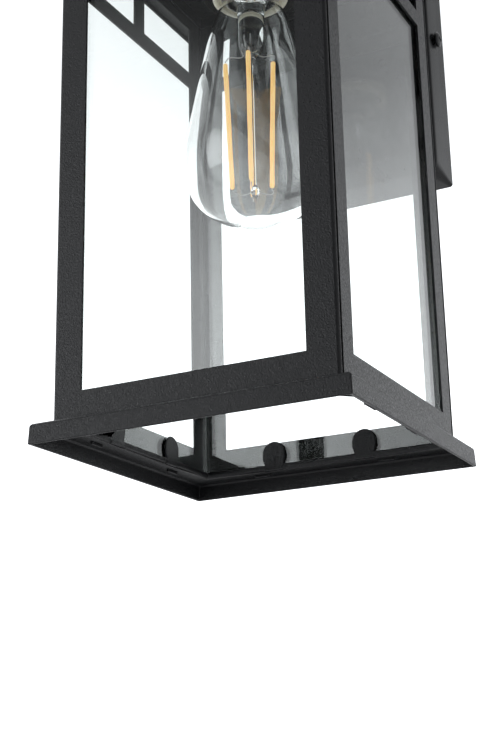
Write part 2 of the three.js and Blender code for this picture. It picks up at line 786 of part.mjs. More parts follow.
// The envelope: the outer curve, the neck inside the cap, and the same curve back inside.
function bulbEnvelope() {
  const neck = [[neckRadius, glassTopHeight + gap / 2], [neckRadius, glassTopHeight + 4]];
  const coarse = bulbShape.filter((_, i) => i % 2 === 0);
  const inside = coarse.slice(1).map(([r, z], i) => {
    const [r0, z0] = coarse[i];
    const tilt = Math.atan2(z - z0, r - r0);
    return [r - bulbGlass * Math.sin(tilt), z + bulbGlass * Math.cos(tilt)];
  });
  const bore = neck.map(([r, z]) => [r - bulbGlass, z]).reverse();
  return [...bulbShape, ...neck, ...bore, ...inside.slice(0, -1).reverse(), [0, bulbGlass]];
}

// The stem: a flare in the neck, a tube, the pinch that holds the wires, a rod and its bead.
const stemTop = glassTopHeight + 3;
const pinch = filamentTop + 3.5 - bulbBottom;
const rodBottom = filamentTop - filamentLength - 6 - bulbBottom;
const rodRadius = 1.1;

function bulbStem() {
  return [
    [0, stemTop - 5], [3.6, stemTop - 3], [neckRadius - bulbGlass - 1.2, stemTop],
    [neckRadius - bulbGlass - 0.5, stemTop - 1], [6.4, stemTop - 8], [6.1, pinch + 13],
    [5, pinch + 5], [2.2, pinch], [rodRadius, pinch - 3], [rodRadius, rodBottom + 3], [2, rodBottom + 1.8],
    [2, rodBottom + 0.8], [0, rodBottom],
  ];
}

// Where a filament crosses a level, with the cage's ring at that level.
function filamentPoint(i, ring, z) {
  const angle = THREE.MathUtils.degToRad(filamentTurn + i * 360 / filamentCount);
  const [x, y] = filamentShift;
  return new THREE.Vector3(x + ring * Math.cos(angle), y + ring * Math.sin(angle), z);
}

// Four wire arms round the stem's rod, one to each filament's end.
function filamentWires(height, ring) {
  const hubRadius = rodRadius + gap + 0.5;
  const hub = tube(rodRadius + gap, hubRadius, height - 0.6, height + 0.6, 12);
  const arms = Array.from({ length: filamentCount }, (_, i) => {
    const end = filamentPoint(i, ring, height);
    const start = hubRadius - 0.4;
    const length = Math.hypot(end.x, end.y) + filamentRadius - start;
    const geometry = new THREE.CylinderGeometry(0.3, 0.3, length, 6);
    geometry.rotateZ(-Math.PI / 2);
    geometry.translate(start + length / 2, 0, height);
    geometry.rotateZ(Math.atan2(end.y, end.x));
    return solid(geometry);
  });
  return joined(hub, ...arms);
}

// One filament stick, leaning from the wide top ring to the narrower lower one.
function filament(i) {
  const top = filamentPoint(i, filamentRingTop, filamentTop - 1);
  const bottom = filamentPoint(i, filamentRingBottom, filamentTop - filamentLength + 1);
  const along = new THREE.Vector3().subVectors(top, bottom);
  const geometry = new THREE.CylinderGeometry(filamentRadius, filamentRadius, along.length(), 8);
  geometry.applyQuaternion(new THREE.Quaternion().setFromUnitVectors(
    new THREE.Vector3(0, 1, 0), along.clone().normalize(),
  ));
  geometry.translate(...top.clone().add(bottom).multiplyScalar(0.5).toArray());
  return solid(geometry);
}

const capBottom = bulbBottom + glassTopHeight + gap;
const threadTop = capTop - 1.6;
const insulatorRadius = 7.4;
const tipRadius = 4.6;
const capInner = capRadius - threadDepth - 0.4;

function capShell() {
  const rows = threadRows(capRadius, capBottom + 1.2, threadTop);
  const profile = [
    [capInner, capBottom], [capInner + 0.5, capBottom], ...rows,
    [insulatorRadius + gap + 1, capTop - 0.3], [insulatorRadius + gap, capTop - 0.3],
    [insulatorRadius + gap, capTop - 0.9], [capInner, threadTop - 0.4], [capInner, capBottom],
  ];
  return solid(threaded(turned(profile), capRadius, capBottom + 1, threadTop + 0.1));
}

place(lantern, 'bulb_glass', solid(turned(bulbEnvelope(), 24)), clearGlass, [0, 0, bulbBottom]);
place(lantern, 'bulb_stem', solid(turned(bulbStem(), 14)), clearGlass, [0, 0, bulbBottom]);
place(lantern, 'upper_filament_wires', filamentWires(filamentTop, filamentRingTop), supportWire);
place(lantern, 'lower_filament_wires', filamentWires(
  filamentTop - filamentLength, filamentRingBottom,
), supportWire);
for (let i = 0; i < filamentCount; i += 1) {
  place(lantern, `filament_${i + 1}`, filament(i), phosphor);
}
place(lantern, 'bulb_cap_shell', capShell(), nickelShell);
place(lantern, 'bulb_driver_board', rod(
  'z', capInner - 1, glassTopHeight + bulbBottom + 5.2, glassTopHeight + bulbBottom + 6.8, [0, 0], 12,
), circuitBoard);
place(lantern, 'bulb_cap_insulator', solid(turned([
  [0, capTop - 2.2], [insulatorRadius, capTop - 1.6], [insulatorRadius, capTop - 0.4],
  [tipRadius + gap, capTop + 0.4], [tipRadius + gap, capTop - 0.4], [0, capTop - 0.4],
])), blackGlass);
place(lantern, 'bulb_tip_contact', solid(turned([
  [0, capTop - 0.1], [tipRadius, capTop - 0.1], [tipRadius, capTop + 0.5],
  [tipRadius * 0.7, tipTop - 0.3], [0, tipTop],
], 16)), solder);

// ---------------------------------------------------------------- wall plate and bracket

// A drawn pan, open to the wall: soft corners at its front, sharp ones at its rim.
function backplate() {
  const [x, y] = [plateWidth / 2, plateHeight / 2];
  const outline = (inset, radius) => roundRectangle(-x + inset, x - inset, -y + inset, y - inset, radius);
  const soft = 2.2;
  const outside = loft([
    [0, outline(0, plateRimCorner)],
    [plateDepth - soft, outline(plateDraft, plateFrontCorner - 1)],
    [plateDepth - soft * 0.3, outline(plateDraft + soft * 0.3, plateFrontCorner)],
    [plateDepth, outline(plateDraft + soft, plateFrontCorner)],
  ]);
  const inside = loft([
    [-1, outline(plateSheet, plateRimCorner)],
    [plateDepth - soft - plateSheet * 0.4, outline(plateDraft + plateSheet, plateFrontCorner - 1)],
    [plateDepth - plateSheet, outline(plateDraft + plateSheet + soft * 0.5, plateFrontCorner)],
  ]);
  const pipeZ = hangerHeight - plateCentreHeight;
  const front = [plateDepth - 2 * plateSheet, plateDepth + 1];
  return cut(
    outside,
    inside,
    rod('z', pipeHole, ...front, [0, pipeZ]),
    ...[-1, 1].map((side) => rod('z', screwHole, ...front, [side * hangerScrewSpacing / 2, pipeZ], 10)),
    rod('x', sideScrewHole, -plateWidth, plateWidth, [0, sideScrewInset], 12),
  );
}

// Local X, Y, Z of the plate and bracket become X, Z, -Y: depth runs out from the wall.
const outOfWall = [Math.PI / 2, 0, 0];

const earOuter = plateWidth / 2 - plateSheet - plateDraft - gap;
const earInner = earOuter - bracketSheet;
const groundScrewX = 16;

function wallBracket() {
  const half = bracketHeight / 2;
  const slots = [-1, 1].map((side) => {
    const centre = side * boxSlotSpacing / 2;
    const reach = boxSlotLength / 2;
    return joined(
      block(centre - reach, centre + reach, -boxSlotHalf, boxSlotHalf, -1, bracketSheet + 1),
      rod('z', boxSlotHalf, -1, bracketSheet + 1, [centre - reach, 0], 10),
      rod('z', boxSlotHalf, -1, bracketSheet + 1, [centre + reach, 0], 10),
    );
  });
  const ears = [-1, 1].map((side) => {
    const [x0, x1] = [side * earInner, side * earOuter].sort((p, q) => p - q);
    return block(x0, x1, -half, half, 0, bracketEarDepth);
  });
  return cut(
    joined(block(-earOuter, earOuter, -half, half, 0, bracketSheet), ...ears),
    ...slots,
    rod('z', bracketWireHole, -1, bracketSheet + 1),
    rod('z', screwHole, -1, bracketSheet + 1, [groundScrewX, 0], 10),
    rod('x', sideScrewHole, -plateWidth, plateWidth, [0, sideScrewInset], 12),
  );
}

// Half of the foam strip inside the plate's rim, above or below the bracket's ears.
function gasketHalf(side) {
  const inset = plateSheet + gap + 0.2;
  const [x, y] = [plateWidth / 2 - inset, plateHeight / 2 - inset];
  const clear = bracketHeight / 2 + 2;
  const [y0, y1] = side > 0 ? [-y - 1, clear] : [-clear, y + 1];
  const ring = (shrink) => roundRectangle(
    -x + shrink, x - shrink, -y + shrink, y - shrink, gasketWidth - shrink / 2,
  );
  return cut(
    loft([[0, ring(0)], [gasketDepth, ring(0)]]),
    loft([[-1, ring(gasketWidth)], [gasketDepth + 1, ring(gasketWidth)]]),
    block(-x - 1, x + 1, y0, y1, -1, gasketDepth + 1),
  );
}

place(wallMount, 'backplate', backplate(), blackPowder, [0, 0, 0], outOfWall);
place(wallMount, 'wall_bracket', wallBracket(), zincSteel, [0, 0, 0], outOfWall);
place(wallMount, 'upper_gasket', gasketHalf(1), foam, [0, 0, 0], outOfWall);
place(wallMount, 'lower_gasket', gasketHalf(-1), foam, [0, 0, 0], outOfWall);
[['left', -1], ['right', 1]].forEach(([name, side]) => {
  const reach = plateWidth / 2 + gap;
  const screw = panScrew(sideScrewHeadRadius, sideScrewHeadHeight, sideScrewShank, sideScrewLength);
  place(wallMount, `side_screw_${name}`, screw, blackPowder,
    [side * reach, -sideScrewInset, 0], [0, side * Math.PI / 2, 0]);
});
place(wallMount, 'ground_screw', panScrew(3.4, 2.2, screwShank, bracketSheet), greenScrew,
  [groundScrewX, -bracketSheet - gap, 0], outOfWall);

// ---------------------------------------------------------------- leads and their connectors

const connectorHeight = 16;
const connectorRadius = 4.4;
const connectorDrop = 28;         // from the level pipe's axis to the connector's mouth
const cavityDepth = bracketSheet + gap + connectorRadius + 0.5;
const cavityY = wallY - cavityDepth;

// A twist-on connector with its mouth up.
function wireConnector() {
  return solid(turned([
    [0, 0], [3, 0], [connectorRadius, connectorHeight], [2.4, connectorHeight], [1.8, 3], [0, 3],
  ], 12));
}

const slotLevel = strapTop + 2 * gap + pipeNutHeight + 4;
const levelFrom = levelPipe[0];
const levelTo = levelPipe[1];

[['live', 1, blackLead], ['neutral', -1, whiteLead]].forEach(([name, side, material]) => {
  const x = side * 1.7;
  const connectorX = side * 22;
  const connectorTop = hangerHeight - connectorDrop;
  const points = [
    [side * terminalX, 0, porcelainTop + 3.4], [side * 8, 0, porcelainTop + 5],
    [side * 4, 0, porcelainTop + 5.6], [x, 0, pipeBottom + 1], [x, 0, pipeBottom + 8],
    [x, 0, slotLevel - 4], [x, 3, slotLevel + 0.6], [x, 9, slotLevel + 0.5],
    [side * 3, 22, slotLevel - 3], [side * 3, 38, slotLevel - 2.5],
    [x, levelFrom - 3, hangerHeight - 0.6], [x, levelFrom + 4, hangerHeight],
    [x, levelTo - 5, hangerHeight],
    [x, levelTo + 0.8, hangerHeight - 0.3], [side * 5, cavityY, hangerHeight - 5],
    [side * 15, cavityY, hangerHeight - 12], [connectorX, cavityY, hangerHeight - 22],
    [connectorX, cavityY, connectorTop], [connectorX, cavityY, connectorTop - 9],
  ];
  place(lantern, `${name}_lead`, lead(points, 44), material);
  place(lantern, `${name}_connector`, wireConnector(), connectorPlastic,
    [connectorX, cavityY, connectorTop - connectorHeight + 2]);
});

const earthTop = -28;
place(wallMount, 'earth_lead', lead([
  [groundScrewX, -bracketSheet - gap - 3.8, 0], [groundScrewX - 0.5, -cavityDepth, -8],
  [groundScrewX - 7, -cavityDepth, -16], [0, -cavityDepth, earthTop + 6],
  [0, -cavityDepth, earthTop], [0, -cavityDepth, earthTop - 9],
], 16), greenLead);
place(wallMount, 'earth_connector', wireConnector(), connectorPlastic,
  [0, -cavityDepth, earthTop - connectorHeight + 2]);

export default model;
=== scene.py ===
import math

import bmesh
import bpy
from mathutils import Matrix, Vector


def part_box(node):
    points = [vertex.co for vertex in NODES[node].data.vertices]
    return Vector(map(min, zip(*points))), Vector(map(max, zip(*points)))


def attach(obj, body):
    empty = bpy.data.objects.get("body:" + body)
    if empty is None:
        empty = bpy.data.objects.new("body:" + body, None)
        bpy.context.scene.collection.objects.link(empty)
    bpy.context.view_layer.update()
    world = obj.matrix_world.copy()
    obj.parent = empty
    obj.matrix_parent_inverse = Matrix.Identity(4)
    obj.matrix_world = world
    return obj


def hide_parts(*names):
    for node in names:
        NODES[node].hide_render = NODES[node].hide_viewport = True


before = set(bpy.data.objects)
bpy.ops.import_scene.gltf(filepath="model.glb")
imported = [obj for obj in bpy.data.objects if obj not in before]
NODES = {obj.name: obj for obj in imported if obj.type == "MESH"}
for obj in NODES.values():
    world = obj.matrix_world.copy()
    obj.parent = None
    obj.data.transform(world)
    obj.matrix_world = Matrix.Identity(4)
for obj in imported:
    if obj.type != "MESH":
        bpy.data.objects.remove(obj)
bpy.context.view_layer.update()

MM = 0.001


# ---------------------------------------------------------------- where things are

# LANTERN places millimetres that count from the bulb's axis and the skirt's bottom edge.
# WALL places the wall plate's millimetres: across, up, and depth from the wall.
bulb_low, bulb_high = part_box("bulb_glass")
axis_x = (bulb_low.x + bulb_high.x) / 2
axis_y = (bulb_low.y + bulb_high.y) / 2
base_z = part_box("bottom_skirt")[0].z
SCALE = Matrix.Diagonal((MM, MM, MM, 1))
LANTERN = Matrix.Translation((axis_x, axis_y, base_z)) @ SCALE
WALL = Matrix.Rotation(math.pi / 2, 4, "X") @ SCALE


def reach(node):
    """Lowest and highest level and the half width of a node, in the lantern's millimetres."""
    low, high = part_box(node)
    return (low.z - base_z) / MM, (high.z - base_z) / MM, (high.x - low.x) / 2 / MM


# ---------------------------------------------------------------- camera

# In front of the lantern, to its right and below it: a place in metres, angles in radians.
CAMERA_AT = Vector((axis_x + 0.25054, axis_y - 0.50142, base_z - 0.13144))
CAMERA_YAW = 0.4757977     # to the left of the line towards the wall
CAMERA_TILT = 0.2969889    # upward
CAMERA_ROLL = -0.0217437
LENS = 65.43               # millimetres, like the sensor
SENSOR_HEIGHT = 36
NEAREST_SEEN = 0.01        # metres


def set_camera():
    """Puts the camera at its place and angles and makes it the scene's."""
    data = bpy.data.cameras.new("camera")
    data.sensor_fit = "VERTICAL"
    data.sensor_height = SENSOR_HEIGHT
    data.lens = LENS
    data.clip_start = NEAREST_SEEN
    camera = bpy.data.objects.new("camera", data)
    bpy.context.scene.collection.objects.link(camera)
    forward = Vector((
        -math.sin(CAMERA_YAW) * math.cos(CAMERA_TILT),
        math.cos(CAMERA_YAW) * math.cos(CAMERA_TILT),
        math.sin(CAMERA_TILT),
    ))
    level_right = Vector((math.cos(CAMERA_YAW), math.sin(CAMERA_YAW), 0))
    level_up = level_right.cross(forward)
    right = level_right * math.cos(CAMERA_ROLL) + level_up * math.sin(CAMERA_ROLL)
    up = level_up * math.cos(CAMERA_ROLL) - level_right * math.sin(CAMERA_ROLL)
    camera.matrix_world = Matrix((
        (right.x, up.x, -forward.x, CAMERA_AT.x),
        (right.y, up.y, -forward.y, CAMERA_AT.y),
        (right.z, up.z, -forward.z, CAMERA_AT.z),
        (0, 0, 0, 1),
    ))
    bpy.context.scene.camera = camera


set_camera()


# ---------------------------------------------------------------- materials

MATERIALS = {}
BUMP_SHARE = 0.3           # a bump's height as a share of its width
ROUGH_PATCH = 2.3          # how much finer the roughness wanders than the colour
BRUSH_STRETCH = {"brush_x": (0.02, 1, 1), "brush_z": (1, 1, 0.02)}


def noise(tree, place, scale, detail, rough):
    """The grey value of a noise texture."""
    node = tree.nodes.new("ShaderNodeTexNoise")
    node.inputs["Scale"].default_value = scale
    node.inputs["Detail"].default_value = detail
    node.inputs["Roughness"].default_value = rough
    tree.links.new(place, node.inputs["Vector"])
    return node.outputs["Fac"]


def mapped(tree, source, start, end, low, high):
    """The source's stretch from start to end, laid over low to high."""
    node = tree.nodes.new("ShaderNodeMapRange")
    node.inputs["From Min"].default_value = start
    node.inputs["From Max"].default_value = end
    node.inputs["To Min"].default_value = low
    node.inputs["To Max"].default_value = high
    tree.links.new(source, node.inputs["Value"])
    return node.outputs["Result"]


def relief(tree, place, kind, scale):
    """The heights of one kind of bump: grain, cells, or lines brushed along an axis."""
    if kind == "grain":
        return noise(tree, place, scale, detail=2.0, rough=0.6)
    if kind == "cells":
        cells = tree.nodes.new("ShaderNodeTexVoronoi")
        cells.inputs["Scale"].default_value = scale
        tree.links.new(place, cells.inputs["Vector"])
        return cells.outputs["Distance"]
    stretch = tree.nodes.new("ShaderNodeMapping")
    stretch.inputs["Scale"].default_value = BRUSH_STRETCH[kind]
    tree.links.new(place, stretch.inputs["Vector"])
    return noise(tree, stretch.outputs["Vector"], scale, detail=2.0, rough=0.5)


def material(slot, low, high, roughness, patch, bumps=(), rough_swing=0.06, **sockets):
    """A procedural material: two colours mixed over patches, a wandering roughness and layered bumps.

    bumps is a list of (kind, scale, strength); patch and scale are in features per metre.
    """
    mat = bpy.data.materials.new(slot)
    mat.use_nodes = True
    tree = mat.node_tree
    shader = tree.nodes["Principled BSDF"]
    place = tree.nodes.new("ShaderNodeTexCoord").outputs["Object"]

    mix = tree.nodes.new("ShaderNodeMix")
    mix.data_type = "RGBA"
    mix.inputs["A"].default_value = (*low, 1)
    mix.inputs["B"].default_value = (*high, 1)
    patches = noise(tree, place, patch, detail=3.0, rough=0.55)
    tree.links.new(mapped(tree, patches, 0.35, 0.65, 0, 1), mix.inputs["Factor"])
    tree.links.new(mix.outputs["Result"], shader.inputs["Base Color"])

    smoothest = max(0, roughness - rough_swing)
    wear = noise(tree, place, patch * ROUGH_PATCH, detail=4.0, rough=0.55)
    wandering = mapped(tree, wear, 0.3, 0.7, smoothest, roughness + rough_swing)
    tree.links.new(wandering, shader.inputs["Roughness"])

    normal = None
    for kind, scale, strength in bumps:
        bump = tree.nodes.new("ShaderNodeBump")
        bump.inputs["Strength"].default_value = strength
        bump.inputs["Distance"].default_value = BUMP_SHARE / scale
        tree.links.new(relief(tree, place, kind, scale), bump.inputs["Height"])
        if normal is not None:
            tree.links.new(normal, bump.inputs["Normal"])
        normal = bump.outputs["Normal"]
    if normal is not None:
        tree.links.new(normal, shader.inputs["Normal"])

    for name, value in sockets.items():
        shader.inputs[name.replace("_", " ")].default_value = value
    MATERIALS[slot] = mat
    return mat


material("black_powder", (0.0030, 0.0032, 0.0038), (0.0046, 0.0048, 0.0056), 0.39, 520,
         [("grain", 1300, 0.85), ("cells", 2100, 0.4)], 0.15,
         Specular_IOR_Level=0.255)
material("satin_powder", (0.0030, 0.0032, 0.0036), (0.0042, 0.0044, 0.0048), 0.24, 30,
         [("grain", 1100, 0.12)], Specular_IOR_Level=0.20)
material("zinc_steel", (0.52, 0.53, 0.55), (0.68, 0.68, 0.67), 0.34, 160,
         [("grain", 900, 0.12), ("brush_x", 2600, 0.10)], Metallic=1.0)
material("ground_green", (0.02, 0.17, 0.055), (0.03, 0.24, 0.08), 0.38, 300,
         [("grain", 1800, 0.15)], Metallic=0.35)
material("contact_brass", (0.60, 0.40, 0.13), (0.74, 0.52, 0.20), 0.30, 220,
         [("brush_x", 2200, 0.14)], Metallic=1.0)
material("lamp_shell", (0.60, 0.59, 0.56), (0.72, 0.71, 0.68), 0.26, 260,
         [("grain", 1400, 0.10)], Metallic=1.0)
# The porcelain's faint warm emission is painted light: a glow on the socket, which is no lamp, standing in
# for light that falls on it.
material("porcelain", (0.78, 0.72, 0.56), (0.84, 0.80, 0.66), 0.28, 120,
         [("grain", 420, 0.08), ("grain", 2400, 0.05)], Coat_Weight=0.6, Coat_Roughness=0.12,
         Emission_Color=(1.0, 0.95, 0.75, 1), Emission_Strength=0.12)
material("insulator", (0.012, 0.012, 0.014), (0.03, 0.028, 0.030), 0.18, 400, [("grain", 700, 0.1)])
material("solder", (0.46, 0.47, 0.48), (0.62, 0.62, 0.62), 0.36, 500,
         [("grain", 900, 0.35)], Metallic=1.0)
material("support_wire", (0.42, 0.42, 0.43), (0.60, 0.60, 0.60), 0.3, 600,
         [("brush_z", 3000, 0.1)], Metallic=1.0)
material("phosphor", (0.90, 0.55, 0.17), (0.97, 0.66, 0.25), 0.55, 700,
         [("grain", 2600, 0.25)], Subsurface_Weight=0.25, Subsurface_Scale=0.002,
         Emission_Color=(1.0, 0.64, 0.24, 1), Emission_Strength=0.72)
material("circuit_board", (0.02, 0.11, 0.06), (0.035, 0.17, 0.09), 0.45, 500, [("cells", 900, 0.3)])
material("foam", (0.010, 0.010, 0.011), (0.022, 0.022, 0.023), 0.92, 200,
         [("cells", 1500, 0.9), ("grain", 500, 0.3)])
material("black_lead", (0.010, 0.010, 0.011), (0.018, 0.018, 0.019), 0.42, 200, [("grain", 1500, 0.15)])
material("white_lead", (0.68, 0.67, 0.63), (0.76, 0.75, 0.72), 0.42, 200, [("grain", 1500, 0.15)])
material("green_lead", (0.02, 0.20, 0.07), (0.03, 0.28, 0.10), 0.42, 200, [("grain", 1500, 0.15)])
material("connector", (0.58, 0.20, 0.025), (0.70, 0.27, 0.04), 0.40, 150, [("grain", 1100, 0.2)])


def glass(slot, low, high, ior, depth_colour, density):
    """Clear, smooth glass whose depth colour shows where it is thick."""
    clear = material(slot, low, high, 0.0, 25, rough_swing=0.0, Transmission_Weight=1.0, IOR=ior)
    tree = clear.node_tree
    volume = tree.nodes.new("ShaderNodeVolumeAbsorption")
    volume.inputs["Color"].default_value = (*depth_colour, 1)
    volume.inputs["Density"].default_value = density
    tree.links.new(volume.outputs["Volume"], tree.nodes["Material Output"].inputs["Volume"])


glass("pane_glass", (0.99, 1.0, 0.995), (1.0, 1.0, 1.0), 1.52, (0.50, 0.90, 0.74), 13)
glass("bulb_glass", (0.99, 1.0, 1.0), (1.0, 1.0, 1.0), 1.50, (0.80, 0.93, 0.88), 8)


# ---------------------------------------------------------------- CAD pieces that stay

SHARED_DISTANCE = 2e-6     # metres
FLAT_ANGLE = 0.5           # degrees between facets that are one flat face
EDGE_ANGLE = 32            # degrees from which an edge is rounded


def shading_group():
    """Shares the corners of a CAD mesh's facets and turns smooth shading on, in a modifier."""
    group = bpy.data.node_groups.new("share_corners", "GeometryNodeTree")
    group.interface.new_socket("Geometry", in_out="INPUT", socket_type="NodeSocketGeometry")
    group.interface.new_socket("Geometry", in_out="OUTPUT", socket_type="NodeSocketGeometry")
    start = group.nodes.new("NodeGroupInput")
    end = group.nodes.new("NodeGroupOutput")
    merge = group.nodes.new("GeometryNodeMergeByDistance")
    merge.inputs["Distance"].default_value = SHARED_DISTANCE
    drop = group.nodes.new("GeometryNodeRemoveAttribute")
    drop.inputs["Name"].default_value = "custom_normal"
    faces = group.nodes.new("GeometryNodeSetShadeSmooth")
    faces.domain = "FACE"
    faces.inputs["Shade Smooth"].default_value = True
    edges = group.nodes.new("GeometryNodeSetShadeSmooth")
    edges.domain = "EDGE"
    edges.inputs["Shade Smooth"].default_value = True
    chain = [start, merge, drop, faces, edges, end]
    for a, b in zip(chain, chain[1:]):
        group.links.new(a.outputs[0], b.inputs[0])
    return group


SHARED = shading_group()


def share_corners(node):
    """Gives a CAD node its smooth shading."""
    shared = NODES[node].modifiers.new("share_corners", "NODES")
    shared.node_group = SHARED


def dress(node, bevel, segments=2):
    """Gives a CAD node its shading and small rounded edges, in millimetres."""
    share_corners(node)
    flat = NODES[node].modifiers.new("flat_faces", "DECIMATE")
    flat.decimate_type = "DISSOLVE"
    flat.angle_limit = math.radians(FLAT_ANGLE)
    edge = NODES[node].modifiers.new("edges", "BEVEL")
    edge.width = bevel * MM
    edge.segments = segments
    edge.limit_method = "ANGLE"
    edge.angle_limit = math.radians(EDGE_ANGLE)
    edge.use_clamp_overlap = False
    weighted = NODES[node].modifiers.new("shading", "WEIGHTED_NORMAL")
    weighted.keep_sharp = False


def dress_lead(node):
    """Gives a CAD lead its shading and a round section."""
    share_corners(node)
    soft = NODES[node].modifiers.new("round", "SUBSURF")
    soft.levels = 2
    soft.render_levels = 2


for piece in NODES.values():
    slot_name = piece.data.materials[0].name.split(".")[0]
    piece.material_slots[0].material = MATERIALS[slot_name]

for side in ("front", "back", "left", "right"):
    dress(f"{side}_panel", 0.22, 3)
    dress(f"{side}_glass", 0.25)
for name in ("roof_cap", "roof_base", "ceiling_tray"):
    dress(name, 0.22, 3)
dress("bottom_skirt", 0.50, 3)
dress("hanger_strap", 0.35)
dress("finial_plate", 0.30)
dress("socket_bridge", 0.25)
dress("wall_bracket", 0.35)
dress("centre_contact", 0.12)
dress("bulb_driver_board", 0.2)
dress("upper_gasket", 0.6, 3)
dress("lower_gasket", 0.6, 3)
for name in ("lamp_pipe_nut", "wire_pipe_nut_front", "wire_pipe_nut_rear"):
    dress(name, 0.45, 3)
for name in ("hanger_nut_left", "hanger_nut_right"):
    dress(name, 0.3, 3)
for name in ("live_lead", "neutral_lead", "earth_lead"):
    dress_lead(name)


# ---------------------------------------------------------------- finer pieces

SHARP_ANGLE = 40           # degrees from which an edge of a finer piece is drawn sharp
CUT_SHARP_ANGLE = 32       # and of one that is cut
STRAIGHT_ANGLE = 160       # degrees between two sides that need no rounding
CORNER_SHARE = 0.45        # the most of a side that a round corner takes
PIPE_HOLE = 5.15           # radius of the holes that the pipes pass


def between(a, b, c, d, t):
    """The Catmull-Rom value at t on the span from b to c."""
    square = 2 * a - 5 * b + 4 * c - d
    cube = 3 * b - a - 3 * c + d
    return 0.5 * (2 * b + (c - a) * t + square * t * t + cube * t ** 3)


def smooth(points, steps):
    """A Catmull-Rom curve through 2-D points, steps to a span."""
    made = []
    last = len(points) - 1
    for i in range(last):
        near = [points[min(max(i + k, 0), last)] for k in (-1, 0, 1, 2)]
        for s in range(steps):
            made.append(tuple(between(*values, s / steps) for values in zip(*near)))
    made.append(tuple(points[last]))
    return made


def soften(points, radius, steps=4):
    """Rounds the corners of an open outline by up to radius."""
    made = []
    straight = math.radians(STRAIGHT_ANGLE)
    for i, point in enumerate(points):
        here = Vector(point)
        if i in (0, len(points) - 1):
            made.append(tuple(here))
            continue
        before = Vector(points[i - 1]) - here
        after = Vector(points[i + 1]) - here
        if before.length < 1e-6 or after.length < 1e-6 or before.angle(after) > straight:
            made.append(tuple(here))
            continue
        a = here + before.normalized() * min(radius, before.length * CORNER_SHARE)
        b = here + after.normalized() * min(radius, after.length * CORNER_SHARE)
        for s in range(steps + 1):
            t = s / steps
            made.append(tuple(a * (1 - t) ** 2 + here * 2 * t * (1 - t) + b * t * t))
    return made


def piece_from(name, vertices, faces, place, slot_name, body, replaced, sharp=SHARP_ANGLE):
    """A mesh piece from local vertices: shaded, coloured, on its body and standing for its CAD node.

    A cutter has neither a body nor a CAD node.
    """
    mesh = bpy.data.meshes.new(name)
    mesh.from_pydata([place @ Vector(v) for v in vertices], [], faces)
    work = bmesh.new()
    work.from_mesh(mesh)
    bmesh.ops.remove_doubles(work, verts=work.verts, dist=1e-7)
    bmesh.ops.recalc_face_normals(work, faces=work.faces)
    for face in work.faces:
        face.smooth = True
    work.to_mesh(mesh)
    work.free()
    mesh.set_sharp_from_angle(angle=math.radians(sharp))
    mesh.materials.append(MATERIALS[slot_name])
    made = bpy.data.objects.new(name, mesh)
    bpy.context.scene.collection.objects.link(made)
    if body:
        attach(made, body)
    if replaced:
        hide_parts(*replaced)
    return made


def turned(name, profile, place, slot_name, body, replaced, sides=96, wave=None, sharp=SHARP_ANGLE):
    """A body turned about local Z from (radius, height) points: from axis to axis, or a closed ring.

    wave(angle, radius, height) is what a point's radius grows by.
    """
    rings = []
    vertices = []
    for r, z in profile:
        if r < 1e-5:
            rings.append([len(vertices)])
            vertices.append((0, 0, z))
            continue
        start = len(vertices)
        for i in range(sides):
            angle = 2 * math.pi * i / sides
            grown = r + (wave(angle, r, z) if wave else 0)
            vertices.append((grown * math.cos(angle), grown * math.sin(angle), z))
        rings.append(list(range(start, start + sides)))
    pairs = list(zip(rings, rings[1:]))
    if len(rings[0]) > 1:
        pairs.append((rings[-1], rings[0]))
    faces = []
    for a, b in pairs:
        if len(a) == 1 and len(b) == 1:
            continue
        for i in range(sides):
            j = (i + 1) % sides
            if len(a) == 1:
                faces.append((a[0], b[i], b[j]))
            elif len(b) == 1:
                faces.append((a[i], b[0], a[j]))
            else:
                faces.append((a[i], b[i], b[j], a[j]))
    return piece_from(name, vertices, faces, place, slot_name, body, replaced, sharp)


def carve(piece, cutters):
    """Cuts other pieces out of a piece and removes them."""
    for cutter in cutters:
        step = piece.modifiers.new("cut", "BOOLEAN")
        step.operation = "DIFFERENCE"
        step.solver = "EXACT"
        step.object = cutter
    bpy.context.view_layer.update()
    seen = piece.evaluated_get(bpy.context.evaluated_depsgraph_get())
    mesh = bpy.data.meshes.new_from_object(seen)
    piece.modifiers.clear()
    old = piece.data
    piece.data = mesh
    bpy.data.meshes.remove(old)
    for cutter in cutters:
        bpy.data.objects.remove(cutter)
    for face in piece.data.polygons:
        face.use_smooth = True
    piece.data.set_sharp_from_angle(angle=math.radians(CUT_SHARP_ANGLE))


def drill(place, radius, low, high, slot_name, sides):
    """A cylinder along local Z, to cut with."""
    profile = [(0, low), (radius, low), (radius, high), (0, high)]
    return turned("cutter", profile, place, slot_name, None, None, sides)


def cross_cutter(place, arm, half, top, depth):
    """Two tapered bars, which leave a recess for a cross-tip screwdriver."""
    cutters = []
    for turn in (0, 1):
        vertices = []
        for a, h, z in ((arm * 1.03, half * 1.05, top), (arm * 0.45, half * 0.5, top - depth)):
            for x, y in ((a, h), (-a, h), (-a, -h), (a, -h)):
                vertices.append((x, y, z) if turn == 0 else (-y, x, z))
        faces = [(0, 1, 2, 3), (7, 6, 5, 4)]
        faces += [(i, i + 4, (i + 1) % 4 + 4, (i + 1) % 4) for i in range(4)]
        cutters.append(piece_from("cutter", vertices, faces, place, "black_powder", None, None))
    return cutters


def along_axis(node, along, outer):
    """A place at a CAD node's end with local Z along an axis, that axis's index and the node's length.

    The end is the one that the axis points to if outer is true, and else the other one.
    """
    low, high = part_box(node)
    axis = max(range(3), key=lambda k: abs(along[k]))
    end = (low + high) / 2
    end[axis] = high[axis] if outer == (along[axis] > 0) else low[axis]
    turn = Vector((0, 0, 1)).rotation_difference(Vector(along)).to_matrix().to_4x4()
    return Matrix.Translation(end) @ turn @ SCALE, axis, (high[axis] - low[axis]) / MM


